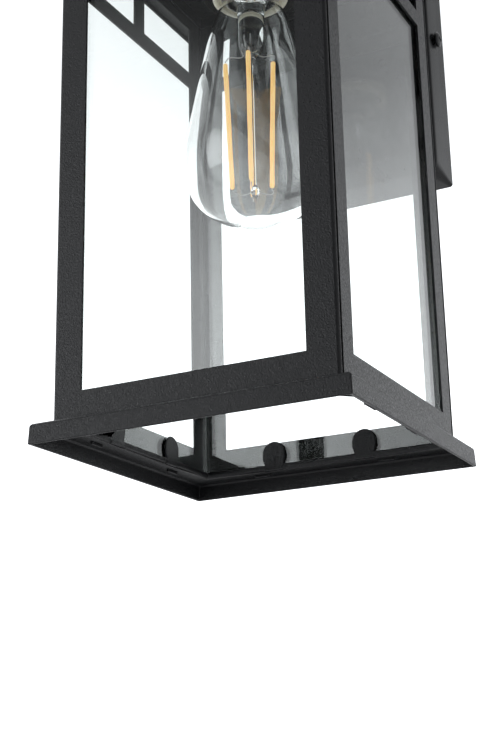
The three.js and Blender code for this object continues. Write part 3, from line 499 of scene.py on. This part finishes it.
DOME_SHARE = 0.62          # of a screw head's height
SHANK_PITCH = 0.34         # a screw thread's pitch and depth as shares of the shank's radius
SHANK_THREAD = 0.09
SHANK_ROWS = 8             # rows of points to a turn of the thread
CROSS_ARM = 0.56           # the recess's arm and half width as shares of the head's radius
CROSS_HALF = 0.13


def pan_screw(node, along, head_height, shank_radius, slot_name):
    """A domed screw with a cross recess in the place of a CAD screw whose head points along an axis."""
    low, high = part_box(node)
    place, axis, length = along_axis(node, along, True)
    head_radius = max(high[k] - low[k] for k in range(3) if k != axis) / 2 / MM
    dome_height = head_height * DOME_SHARE
    dome = [
        (head_radius * math.cos(a), dome_height * math.sin(a) - dome_height)
        for a in (math.radians(d) for d in range(0, 91, 10))
    ]
    dome[-1] = (0, 0)
    pitch = shank_radius * SHANK_PITCH
    row = pitch / SHANK_ROWS
    count = max(2, int((length - head_height - 0.6) / row))
    shank = [(shank_radius, -length + 0.4 + row * i) for i in range(count)]

    def thread(angle, r, z):
        if r > shank_radius + 0.01 or z > -head_height - 0.2:
            return 0
        return -shank_radius * SHANK_THREAD * (1 - math.cos(2 * math.pi * z / pitch - angle))

    profile = [(0, -length), (shank_radius * 0.8, -length)] + shank + [
        (shank_radius, -head_height),
        (head_radius * 0.97, -head_height),
        (head_radius, -head_height * 0.9),
    ] + dome
    screw = turned(f"{node}_fine", profile, place, slot_name, "root", [node], 48, thread)
    recess = head_height * 0.6
    carve(screw, cross_cutter(
        place, head_radius * CROSS_ARM, head_radius * CROSS_HALF, 0.4, recess + 0.4,
    ))


pan_screw("side_screw_right", (1, 0, 0), 2.0, 2.4, "black_powder")
pan_screw("side_screw_left", (-1, 0, 0), 2.0, 2.4, "black_powder")
pan_screw("ground_screw", (0, -1, 0), 2.2, 2.0, "ground_green")
pan_screw("live_terminal_screw", (0, 0, 1), 1.6, 1.5, "contact_brass")
pan_screw("neutral_terminal_screw", (0, 0, 1), 1.6, 1.5, "zinc_steel")
for end in ("front", "rear"):
    pan_screw(f"bridge_screw_{end}", (0, 0, 1), 1.5, 1.5, "zinc_steel")
for side in ("left", "right"):
    pan_screw(f"hanger_screw_{side}", (0, 1, 0), 2.4, 2.0, "zinc_steel")


# ---------------------------------------------------------------- wall plate

plate_low, plate_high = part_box("backplate")
PLATE_WIDTH = (plate_high.x - plate_low.x) / MM
PLATE_HEIGHT = (plate_high.z - plate_low.z) / MM
PLATE_DEPTH = (plate_high.y - plate_low.y) / MM
PLATE_SHEET = 1.4
PLATE_DRAFT = 1.0
PLATE_BEND = 2.4           # radius of the bend round the plate's front
RIM_CORNER = 1.5           # corner radii at the rim and where the bend begins; the bend adds 1
BEND_CORNER = 7.0
STRAIGHT_STEPS = 8
BEND_STEPS = 6
CORNER_STEPS = 10
HANGER_HOLE = 2.3
HANGER_HOLE_AT = 25        # to either side of the wire pipe
SIDE_SCREW_HOLE = 2.7
HALF_DRILL = 90            # half the length of the drill through both sides


def round_rectangle(half_x, half_y, radius):
    """The outline of a rectangle with round corners."""
    points = []
    for corner, (sx, sy) in enumerate(((1, 1), (-1, 1), (-1, -1), (1, -1))):
        for i in range(CORNER_STEPS + 1):
            angle = (corner + i / CORNER_STEPS) * math.pi / 2
            points.append((
                sx * (half_x - radius) + radius * math.cos(angle),
                sy * (half_y - radius) + radius * math.sin(angle),
            ))
    return points


def plate_sections(thickness):
    """The plate's skin, moved inward by thickness: (depth, inset, corner radius) from the rim forward."""
    straight = PLATE_DEPTH - PLATE_BEND
    bend = PLATE_BEND - thickness
    made = []
    for i in range(STRAIGHT_STEPS + 1):
        t = i / STRAIGHT_STEPS
        corner = RIM_CORNER + (BEND_CORNER - RIM_CORNER) * t
        made.append((straight * t, PLATE_DRAFT * t + thickness, corner))
    for i in range(1, BEND_STEPS + 1):
        t = i / BEND_STEPS
        a = t * math.pi / 2
        inset = PLATE_DRAFT + thickness + bend * (1 - math.cos(a))
        made.append((straight + bend * math.sin(a), inset, BEND_CORNER + t))
    return made


def plate_cutters():
    """The drills for the wire pipe, the two hanger screws and the side screws."""
    pipe_low, pipe_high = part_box("wire_pipe")
    level = (pipe_low.z + pipe_high.z) / 2 / MM
    cutters = []
    for x, radius in ((0, PIPE_HOLE), (-HANGER_HOLE_AT, HANGER_HOLE), (HANGER_HOLE_AT, HANGER_HOLE)):
        place = WALL @ Matrix.Translation((x, level, 0))
        cutters.append(drill(place, radius, PLATE_DEPTH - 4, PLATE_DEPTH + 2, "black_powder", 40))
    screw_low, screw_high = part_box("side_screw_right")
    inset = -(screw_low.y + screw_high.y) / 2 / MM
    sideways = Matrix.Translation((0, -inset * MM, 0)) @ Matrix.Rotation(math.pi / 2, 4, "Y") @ SCALE
    cutters.append(drill(sideways, SIDE_SCREW_HOLE, -HALF_DRILL, HALF_DRILL, "black_powder", 32))
    return cutters


def wall_plate():
    """The drawn sheet plate: a skin outside, one inside it, and the holes."""
    vertices = []
    rings = []
    for depth, inset, radius in plate_sections(0)[::-1] + plate_sections(PLATE_SHEET):
        ring = round_rectangle(PLATE_WIDTH / 2 - inset, PLATE_HEIGHT / 2 - inset, radius)
        rings.append(list(range(len(vertices), len(vertices) + len(ring))))
        vertices.extend((x, y, depth) for x, y in ring)
    faces = []
    for a, b in zip(rings, rings[1:]):
        for i in range(len(a)):
            j = (i + 1) % len(a)
            faces.append((a[i], b[i], b[j], a[j]))
    faces.append(tuple(rings[0]))
    faces.append(tuple(reversed(rings[-1])))
    plate = piece_from("backplate_fine", vertices, faces, WALL, "black_powder", "root", ["backplate"], 30)
    carve(plate, plate_cutters())
    plate.material_slots[0].material = MATERIALS["satin_powder"]


wall_plate()


# ---------------------------------------------------------------- lampholder

CUP_SHEET = 0.8
cup_low, cup_high, cup_radius = reach("socket_cup")
cup_outer = [(PIPE_HOLE, cup_high), (cup_radius, cup_high), (cup_radius, cup_low)]
cup_inner = [
    (cup_radius - CUP_SHEET, cup_low),
    (cup_radius - CUP_SHEET, cup_high - CUP_SHEET),
    (PIPE_HOLE, cup_high - CUP_SHEET),
]
turned("socket_cup_fine", soften(cup_outer, 3.4, 8) + soften(cup_inner, 2.8, 8), LANTERN,
       "black_powder", "root", ["socket_cup"], 128)

BORE = 15.3
CROWN = 3.4                # porcelain above the bore
TERMINAL_AT = 11.5         # the terminal and bridge screws' pockets, from the axis
BRIDGE_SCREW_AT = 10.5
POCKET = 1.8
body_low, body_high, body_radius = reach("socket_body")
BORE_TOP = body_high - CROWN
socket_profile = soften([
    (0, BORE_TOP), (BORE, BORE_TOP), (BORE, body_low), (body_radius, body_low),
    (body_radius, body_high - 0.1), (0, body_high),
], 1.3, 5)
socket_body = turned("socket_body_fine", socket_profile, LANTERN, "porcelain", "root", ["socket_body"], 128)
pockets = []
for x, y in ((TERMINAL_AT, 0), (-TERMINAL_AT, 0), (0, BRIDGE_SCREW_AT), (0, -BRIDGE_SCREW_AT)):
    place = LANTERN @ Matrix.Translation((x, y, 0))
    pockets.append(drill(place, POCKET, BORE_TOP + 0.8, body_high + 2, "porcelain", 24))
carve(socket_body, pockets)

# Bulb cap and socket shell share one helix; a turn moves the bulb by one pitch.
PITCH = 3.629
THREAD = 0.38              # half the thread's depth
THREAD_REACH = 0.9         # how far past the thread's depth a sheet still follows it
THREAD_EASE = 0.6          # height over which the thread fades in and out
SHELL_SHEET = 0.6


def helix(middle, low, high):
    """The wave of a rolled thread about a middle radius, between two levels."""
    def wave(angle, r, z):
        if abs(r - middle) > THREAD + THREAD_REACH or not low < z < high:
            return 0
        ease = min(1, (z - low) / THREAD_EASE, (high - z) / THREAD_EASE)
        return ease * THREAD * math.cos(2 * math.pi * z / PITCH - angle)
    return wave


def rows(radius, low, high, step=0.22):
    """Points at one radius, close enough to carry a thread."""
    count = max(2, round((high - low) / step))
    return [(radius, low + (high - low) * i / count) for i in range(count + 1)]


CAP_MOUTH = 8.7            # the cap's small end, by the insulator
CAP_MOUTH_INNER = 7.7
cap_low, cap_high, cap_outer = reach("bulb_cap_shell")
cap_middle = cap_outer - THREAD
cap_inner = cap_middle - THREAD - 0.4
threads_end = cap_high - 1.3
cap_profile = (
    [(cap_inner, cap_low), (cap_inner + 0.5, cap_low)]
    + rows(cap_middle, cap_low + 1.2, threads_end)
    + [
        (cap_middle - 1.4, threads_end + 0.7), (CAP_MOUTH, cap_high), (CAP_MOUTH_INNER, cap_high),
        (CAP_MOUTH_INNER, cap_high - 0.6), (cap_inner - 0.6, threads_end - 0.1),
    ]
    + rows(cap_inner, cap_low + 0.3, threads_end - 0.6)[::-1]
)
turned("bulb_cap_shell_fine", cap_profile, LANTERN, "lamp_shell", "bulb", ["bulb_cap_shell"], 96,
       helix(cap_middle, cap_low + 1.1, threads_end + 0.1), 60)

SHELL_HOLE = 7
shell_low, shell_high, shell_outer = reach("screw_shell")
shell_inner = shell_outer - SHELL_SHEET - THREAD
shell_profile = (
    [(shell_inner + THREAD, shell_low)]
    + rows(shell_inner, shell_low + 0.8, shell_high - SHELL_SHEET)
    + [
        (SHELL_HOLE, shell_high - SHELL_SHEET), (SHELL_HOLE, shell_high),
        (shell_outer - 0.5, shell_high), (shell_outer, shell_high - 0.5),
    ]
    + rows(shell_outer, shell_low, shell_high - 1)[::-1]
)
turned("screw_shell_fine", shell_profile, LANTERN, "lamp_shell", "root", ["screw_shell"], 96,
       helix(shell_inner, shell_low + 0.5, shell_high - SHELL_SHEET - 0.1), 60)

INSULATOR_TOP = 4.9        # radius of the insulator's rim round the tip contact
insulator_low, insulator_high, insulator_radius = reach("bulb_cap_insulator")
turned("bulb_cap_insulator_fine", soften([
    (0, insulator_low), (insulator_radius, insulator_low + 0.6), (insulator_radius, insulator_low + 1.8),
    (INSULATOR_TOP, insulator_high), (INSULATOR_TOP, insulator_high - 0.8), (0, insulator_high - 0.8),
], 0.5, 4), LANTERN, "insulator", "bulb", ["bulb_cap_insulator"], 72)

tip_low, tip_high, tip_radius = reach("bulb_tip_contact")
tip_dome = [
    (tip_radius * math.cos(a), tip_low + 0.6 + (tip_high - tip_low - 0.6) * math.sin(a))
    for a in (math.radians(d) for d in range(10, 90, 10))
]
tip_base = [(0, tip_low), (tip_radius, tip_low), (tip_radius, tip_low + 0.5)]
tip_profile = tip_base + tip_dome + [(0, tip_high)]
turned("bulb_tip_contact_fine", tip_profile, LANTERN, "solder", "bulb_tip", ["bulb_tip_contact"], 64)


# ---------------------------------------------------------------- bulb

WALL_THICKNESS = 0.9
bulb_bottom, _, bulb_radius = reach("bulb_glass")
# The envelope from its lowest point to its neck, as (radius, height) points of a smooth curve.
OUTLINE = [
    (0, 0), (7.6, 0.8), (13.2, 3), (18.9, 6), (24.6, 10), (28.8, 15), (31, 20), (32.3, 26), (32.7, 33),
    (32.3, 39), (31, 46), (29, 55), (26.9, 65), (24.9, 75), (22.8, 85), (20.5, 95), (17.7, 105),
    (14.4, 112), (12.3, 116), (11.6, 118), (11.6, 120),
]
DRAWN_RADIUS = 32.7

outer = smooth([(r * bulb_radius / DRAWN_RADIUS, z + bulb_bottom) for r, z in OUTLINE], 5)
outer = [(max(0, r), z) for r, z in outer]
inner = []
for i, (r, z) in enumerate(outer):
    a = outer[max(i - 1, 0)]
    b = outer[min(i + 1, len(outer) - 1)]
    tangent = Vector((b[0] - a[0], b[1] - a[1])).normalized() if i else Vector((1, 0))
    inner.append((max(0, r - WALL_THICKNESS * tangent.y), z + WALL_THICKNESS * tangent.x))
inner[0] = (0, bulb_bottom + WALL_THICKNESS)
# The neck ends in a level rim.
inner[-1] = (inner[-1][0], outer[-1][1])
turned("bulb_glass_fine", outer + inner[::-1], LANTERN, "bulb_glass", "bulb", ["bulb_glass"], 128, None, 80)

ROD = 0.6                  # radius of the glass rod between the stem's pinch and its bead
ROD_MIDDLE = 165           # a level about halfway along it
stem_low, stem_high, stem_radius = reach("bulb_stem")
wires_low, wires_high, _ = reach("upper_filament_wires")
filament_top = (wires_low + wires_high) / 2
pinch = filament_top + 0.6     # level at which the upper wires leave the stem
stem_flare = [
    (0, stem_high - 5), (3.4, stem_high - 3.4), (stem_radius - 1, stem_high - 0.4),
    (stem_radius, stem_high - 0.6), (7.8, stem_high - 4.5), (6.6, stem_high - 9),
]
stem_press = [
    (6.2, pinch + 13), (6.1, pinch + 8), (5.4, pinch + 4),
    (3.8, pinch + 1.2), (1.9, pinch - 0.8), (0.75, pinch - 3),
]
stem_rod = [(ROD, pinch - 8), (ROD, ROD_MIDDLE), (ROD, stem_low + 11)]
stem_bead = [
    (0.9, stem_low + 9.2), (1.9, stem_low + 7.4), (2.0, stem_low + 5.8),
    (1.2, stem_low + 3.6), (0.5, stem_low + 1.6), (0, stem_low),
]
stem_outline = smooth(stem_flare + stem_press + stem_rod + stem_bead, 4)
stem_outline = [(max(0, r), z) for r, z in stem_outline]
turned("bulb_stem_fine", stem_outline, LANTERN, "bulb_glass", "bulb", ["bulb_stem"], 48, None, 80)

SUPPORT_WIRE = 0.24        # radius


def support_wire(name, points):
    """A round wire of the bulb through points of the lantern's frame, in millimetres."""
    curve = bpy.data.curves.new(name, "CURVE")
    curve.dimensions = "3D"
    curve.bevel_depth = SUPPORT_WIRE * MM
    curve.bevel_resolution = 5
    curve.resolution_u = 8
    curve.use_fill_caps = True
    spline = curve.splines.new("BEZIER")
    spline.bezier_points.add(len(points) - 1)
    for knot, point in zip(spline.bezier_points, points):
        knot.co = LANTERN @ Vector(point)
        knot.handle_left_type = "AUTO"
        knot.handle_right_type = "AUTO"
    curve.materials.append(MATERIALS["support_wire"])
    made = bpy.data.objects.new(name, curve)
    bpy.context.scene.collection.objects.link(made)
    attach(made, "bulb")


def filament_end(node, top):
    """The middle of a CAD filament's upper or lower end, in the lantern's millimetres."""
    mesh = NODES[node].data
    zs = [v.co.z for v in mesh.vertices]
    level = max(zs) if top else min(zs)
    span = (max(zs) - min(zs)) * 0.2
    near = [v.co for v in mesh.vertices if abs(v.co.z - level) < span]
    middle = sum(near, Vector()) / len(near)
    return LANTERN.inverted() @ middle


FILAMENT_RADIUS = 1.1
FILAMENT_ROWS = 12


def filament(i):
    """One filament, slightly uneven along its length, and the two wires that hold it."""
    node = f"filament_{i}"
    top = filament_end(node, True)
    bottom = filament_end(node, False)
    along = top - bottom
    length = along.length
    turn = Vector((0, 0, 1)).rotation_difference(along).to_matrix().to_4x4()
    place = LANTERN @ Matrix.Translation(bottom) @ turn
    bead = [
        (FILAMENT_RADIUS * math.sin(a), FILAMENT_RADIUS * (1 - math.cos(a)) + 0.8)
        for a in (math.radians(d) for d in range(0, 91, 15))
    ]
    straight = [(FILAMENT_RADIUS, length * k / FILAMENT_ROWS) for k in range(1, FILAMENT_ROWS)]
    upper_bead = [(r, length - z) for r, z in bead[:0:-1]]
    profile = [(0, bead[0][1])] + bead[1:] + straight + upper_bead + [(0, length - bead[0][1])]

    def uneven(angle, r, z):
        return 0.05 * math.sin(z * 0.9 + i) + 0.03 * math.sin(3 * angle + z)

    turned(f"{node}_fine", profile, place, "phosphor", "bulb", [node], 24, uneven, 80)
    overlap = along.normalized() * 0.2
    out = Vector((top.x, top.y, 0)).normalized()
    support_wire(f"filament_arm_upper_{i}", [
        out * 2.2 + Vector((0, 0, pinch + 11)),
        out * 2.4 + Vector((0, 0, pinch + 3.5)),
        out * 4.8 + Vector((0, 0, pinch + 0.6)),
        out * 10.6 + Vector((0, 0, filament_top + 1.1)),
        top - overlap,
    ])
    low_out = Vector((bottom.x, bottom.y, 0)).normalized()
    support_wire(f"filament_arm_lower_{i}", [
        low_out * 1.1 + Vector((0, 0, stem_low + 6.6)),
        low_out * 4 + Vector((0, 0, stem_low + 5.2)),
        low_out * 8.2 + Vector((0, 0, stem_low + 5.4)),
        bottom + overlap,
    ])


for number in range(1, 5):
    filament(number)
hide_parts("upper_filament_wires")
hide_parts("lower_filament_wires")


# ---------------------------------------------------------------- pipes, finial and connectors

PIPE_BORE = 3.65
PIPE_PITCH = 1.0
PIPE_THREAD = 0.22         # half the thread's depth
PIPE_END = 0.4             # bevelled length at each end


def threaded_pipe(node, along):
    """A pipe threaded from end to end in the place of a CAD pipe."""
    low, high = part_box(node)
    place, _, length = along_axis(node, along, False)
    radius = (high[0] - low[0]) / 2 / MM

    def wave(angle, r, z):
        if r < radius - 0.01:
            return 0
        return -PIPE_THREAD * (1 - math.cos(2 * math.pi * z / PIPE_PITCH - angle))

    profile = [(PIPE_BORE, 0), (radius - 0.5, 0)] + rows(radius, PIPE_END, length - PIPE_END, 0.16)
    profile += [(radius - 0.5, length), (PIPE_BORE, length)]
    turned(f"{node}_fine", profile, place, "zinc_steel", "root", [node], 40, wave, 60)


threaded_pipe("lamp_pipe", (0, 0, 1))
threaded_pipe("wire_pipe", (0, 1, 0))

FINIAL_BORE = 5            # depth of the finial nut's blind bore
finial_low, finial_high, finial_radius = reach("finial_nut")
finial_knob = soften([
    (PIPE_HOLE + 0.2, finial_low), (finial_radius, finial_low), (finial_radius, finial_low + 2),
    (finial_radius - 1, finial_low + 3), (finial_radius - 1, finial_low + 6.5),
    (finial_radius - 2.6, finial_low + 9.4), (0, finial_high),
], 1.3, 5)
finial_bore = [(0, finial_low + FINIAL_BORE), (PIPE_HOLE, finial_low + FINIAL_BORE)]
finial_profile = [(PIPE_HOLE, finial_low)] + finial_knob + finial_bore
turned("finial_nut_fine", finial_profile, LANTERN, "black_powder", "root", ["finial_nut"], 72)

FLUTES = 12
FLUTE_DEPTH = 0.22


def twist_connector(node):
    """A fluted cap for twisted leads, open at its wide upper end."""
    low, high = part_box(node)
    middle = (low + high) / 2
    place = Matrix.Translation((middle.x, middle.y, low.z)) @ SCALE
    tall = (high.z - low.z) / MM
    wide = (high.x - low.x) / 2 / MM

    def flutes(angle, r, z):
        if r < 2.8 or not 1.5 < z < tall - 2:
            return 0
        return -FLUTE_DEPTH * (0.5 + 0.5 * math.cos(angle * FLUTES))

    shape = [(0, 0)] + soften([(0.2, 0), (wide * 0.68, 0), (wide * 0.72, 1.4)], 0.8, 4)[1:]
    shape += [(wide * (0.72 + 0.24 * k / 8), 1.8 + (tall - 4) * k / 8) for k in range(9)]
    shape += [(wide, tall - 1.6), (wide, tall - 0.3), (wide - 0.3, tall), (2.4, tall), (1.8, 3), (0, 3)]
    turned(f"{node}_fine", shape, place, "connector", "root", [node], 96, flutes, 50)


for name in ("live", "neutral", "earth"):
    twist_connector(f"{name}_connector")


# ---------------------------------------------------------------- stage and light

FLOOR_Z = -0.62            # metres, like the next
HALF_FLOOR = 3.0
FLOOR_STEPS = 24


def floor_point(i, j):
    """Point i, j of the floor's grid."""
    return (
        HALF_FLOOR * (2 * i / FLOOR_STEPS - 1),
        HALF_FLOOR * (2 * j / FLOOR_STEPS - 1),
        FLOOR_Z,
    )


def lay_floor():
    """A plain pale floor, which isn't part of the lantern."""
    row = FLOOR_STEPS + 1
    vertices = [floor_point(i, j) for i in range(row) for j in range(row)]
    faces = [
        (i * row + j, (i + 1) * row + j, (i + 1) * row + j + 1, i * row + j + 1)
        for i in range(FLOOR_STEPS) for j in range(FLOOR_STEPS)
    ]
    mesh = bpy.data.meshes.new("floor")
    mesh.from_pydata(vertices, [], faces)
    mesh.materials.append(material("floor_paper", (0.70, 0.70, 0.70), (0.74, 0.74, 0.74), 0.8, 3,
                                   [("grain", 300, 0.05)],
                                   Emission_Color=(1, 1, 1, 1), Emission_Strength=0.08))
    floor = bpy.data.objects.new("floor", mesh)
    bpy.context.scene.collection.objects.link(floor)


lay_floor()

world = bpy.data.worlds.new("studio")
bpy.context.scene.world = world
world.use_nodes = True
tree = world.node_tree
direction = tree.nodes.new("ShaderNodeTexCoord").outputs["Generated"]
split = tree.nodes.new("ShaderNodeSeparateXYZ")
tree.links.new(direction, split.inputs["Vector"])


def math_node(operation, a, b=0.0):
    """A maths node on two values, each a number or a socket."""
    node = tree.nodes.new("ShaderNodeMath")
    node.operation = operation
    for value, socket in zip((a, b), node.inputs):
        if isinstance(value, (int, float)):
            socket.default_value = value
        else:
            tree.links.new(value, socket)
    return node.outputs["Value"]


def levels(source, stops):
    """A brightness for each value of a socket; stops are (the socket's value, brightness)."""
    low = stops[0][0]
    high = stops[-1][0]
    top = max(value for _, value in stops)
    share = math_node("DIVIDE", math_node("SUBTRACT", source, low), high - low)
    node = tree.nodes.new("ShaderNodeValToRGB")
    ramp = node.color_ramp
    while len(ramp.elements) < len(stops):
        ramp.elements.new(0.5)
    for element, (at, value) in zip(ramp.elements, stops):
        element.position = (at - low) / (high - low)
        element.color = (value / top, value / top, value / top, 1)
    tree.links.new(share, node.inputs["Fac"])
    grey_level = tree.nodes.new("ShaderNodeRGBToBW")
    tree.links.new(node.outputs["Color"], grey_level.inputs["Color"])
    return math_node("MULTIPLY", grey_level.outputs["Val"], top)


# The studio's brightness, low down and high up, by compass angle: degrees to the right of the wall.
LOW_RING = [
    (-180, 0.3), (-150, 0.4), (-115, 1.2), (-90, 1.6), (0, 1.75),
    (18, 1.45), (60, 1.35), (100, 1.05), (140, 0.5), (180, 0.3),
]
HIGH_RING = [
    (-180, 0.08), (-130, 0.3), (-95, 1.2), (-60, 1.5), (0, 1.2),
    (12, 0.75), (30, 0.55), (90, 0.4), (140, 0.2), (180, 0.08),
]
# By the direction's height, from -1 straight down to 1 straight up.
RING_BLEND = [(-1.0, 0.0), (0.36, 0.0), (0.49, 1.0), (1.0, 1.0)]
RING_FADE = [(-1.0, 0.15), (-0.35, 0.3), (-0.05, 0.9), (0.05, 1.15), (0.2, 1.2), (0.34, 0.95), (1.0, 0.9)]
CEILING_LIGHT = [(-1.0, 0.0), (0.7, 0.0), (0.9, 1.0), (1.0, 1.2)]
# A large soft light low at the front left, which brightens the wall plate behind the glass.
SOFT_LIGHT = Vector((-0.651, -0.749, 0.122)).normalized()
SOFT_LIGHT_EDGE = [(-1.0, 0.0), (0.895, 0.0), (0.955, 3.0), (1.0, 3.4)]
STUDIO_TINT = (0.955, 0.975, 1.0)

compass = math_node("ARCTAN2", split.outputs["X"], split.outputs["Y"])
compass = math_node("MULTIPLY", compass, 180 / math.pi)
blend = levels(split.outputs["Z"], RING_BLEND)
high_share = math_node("MULTIPLY", levels(compass, HIGH_RING), blend)
low_share = math_node("MULTIPLY", levels(compass, LOW_RING), math_node("SUBTRACT", 1.0, blend))
ring = math_node("MULTIPLY", math_node("ADD", high_share, low_share), levels(split.outputs["Z"], RING_FADE))

aim = tree.nodes.new("ShaderNodeVectorMath")
aim.operation = "DOT_PRODUCT"
aim.inputs[1].default_value = SOFT_LIGHT
tree.links.new(direction, aim.inputs[0])
lit = math_node("ADD", ring, levels(aim.outputs["Value"], SOFT_LIGHT_EDGE))
lit = math_node("ADD", lit, levels(split.outputs["Z"], CEILING_LIGHT))
background = tree.nodes["Background"]
tree.links.new(lit, background.inputs["Strength"])
background.inputs["Color"].default_value = (*STUDIO_TINT, 1)

# A small share of light from above and behind, in metres and watts.
OVERHEAD_AT = Vector((0.1, 0.3, 1.4))
OVERHEAD_TARGET = Vector((0, -0.1, 0))
OVERHEAD_SIDE = 0.8
OVERHEAD_POWER = 5
lamp = bpy.data.lights.new("overhead", "AREA")
lamp.shape = "RECTANGLE"
lamp.size = OVERHEAD_SIDE
lamp.size_y = OVERHEAD_SIDE
lamp.energy = OVERHEAD_POWER
overhead = bpy.data.objects.new("overhead", lamp)
bpy.context.scene.collection.objects.link(overhead)
overhead.location = OVERHEAD_AT
overhead.rotation_euler = (OVERHEAD_TARGET - OVERHEAD_AT).to_track_quat("-Z", "Y").to_euler()

bpy.context.scene.view_settings.view_transform = "Standard"
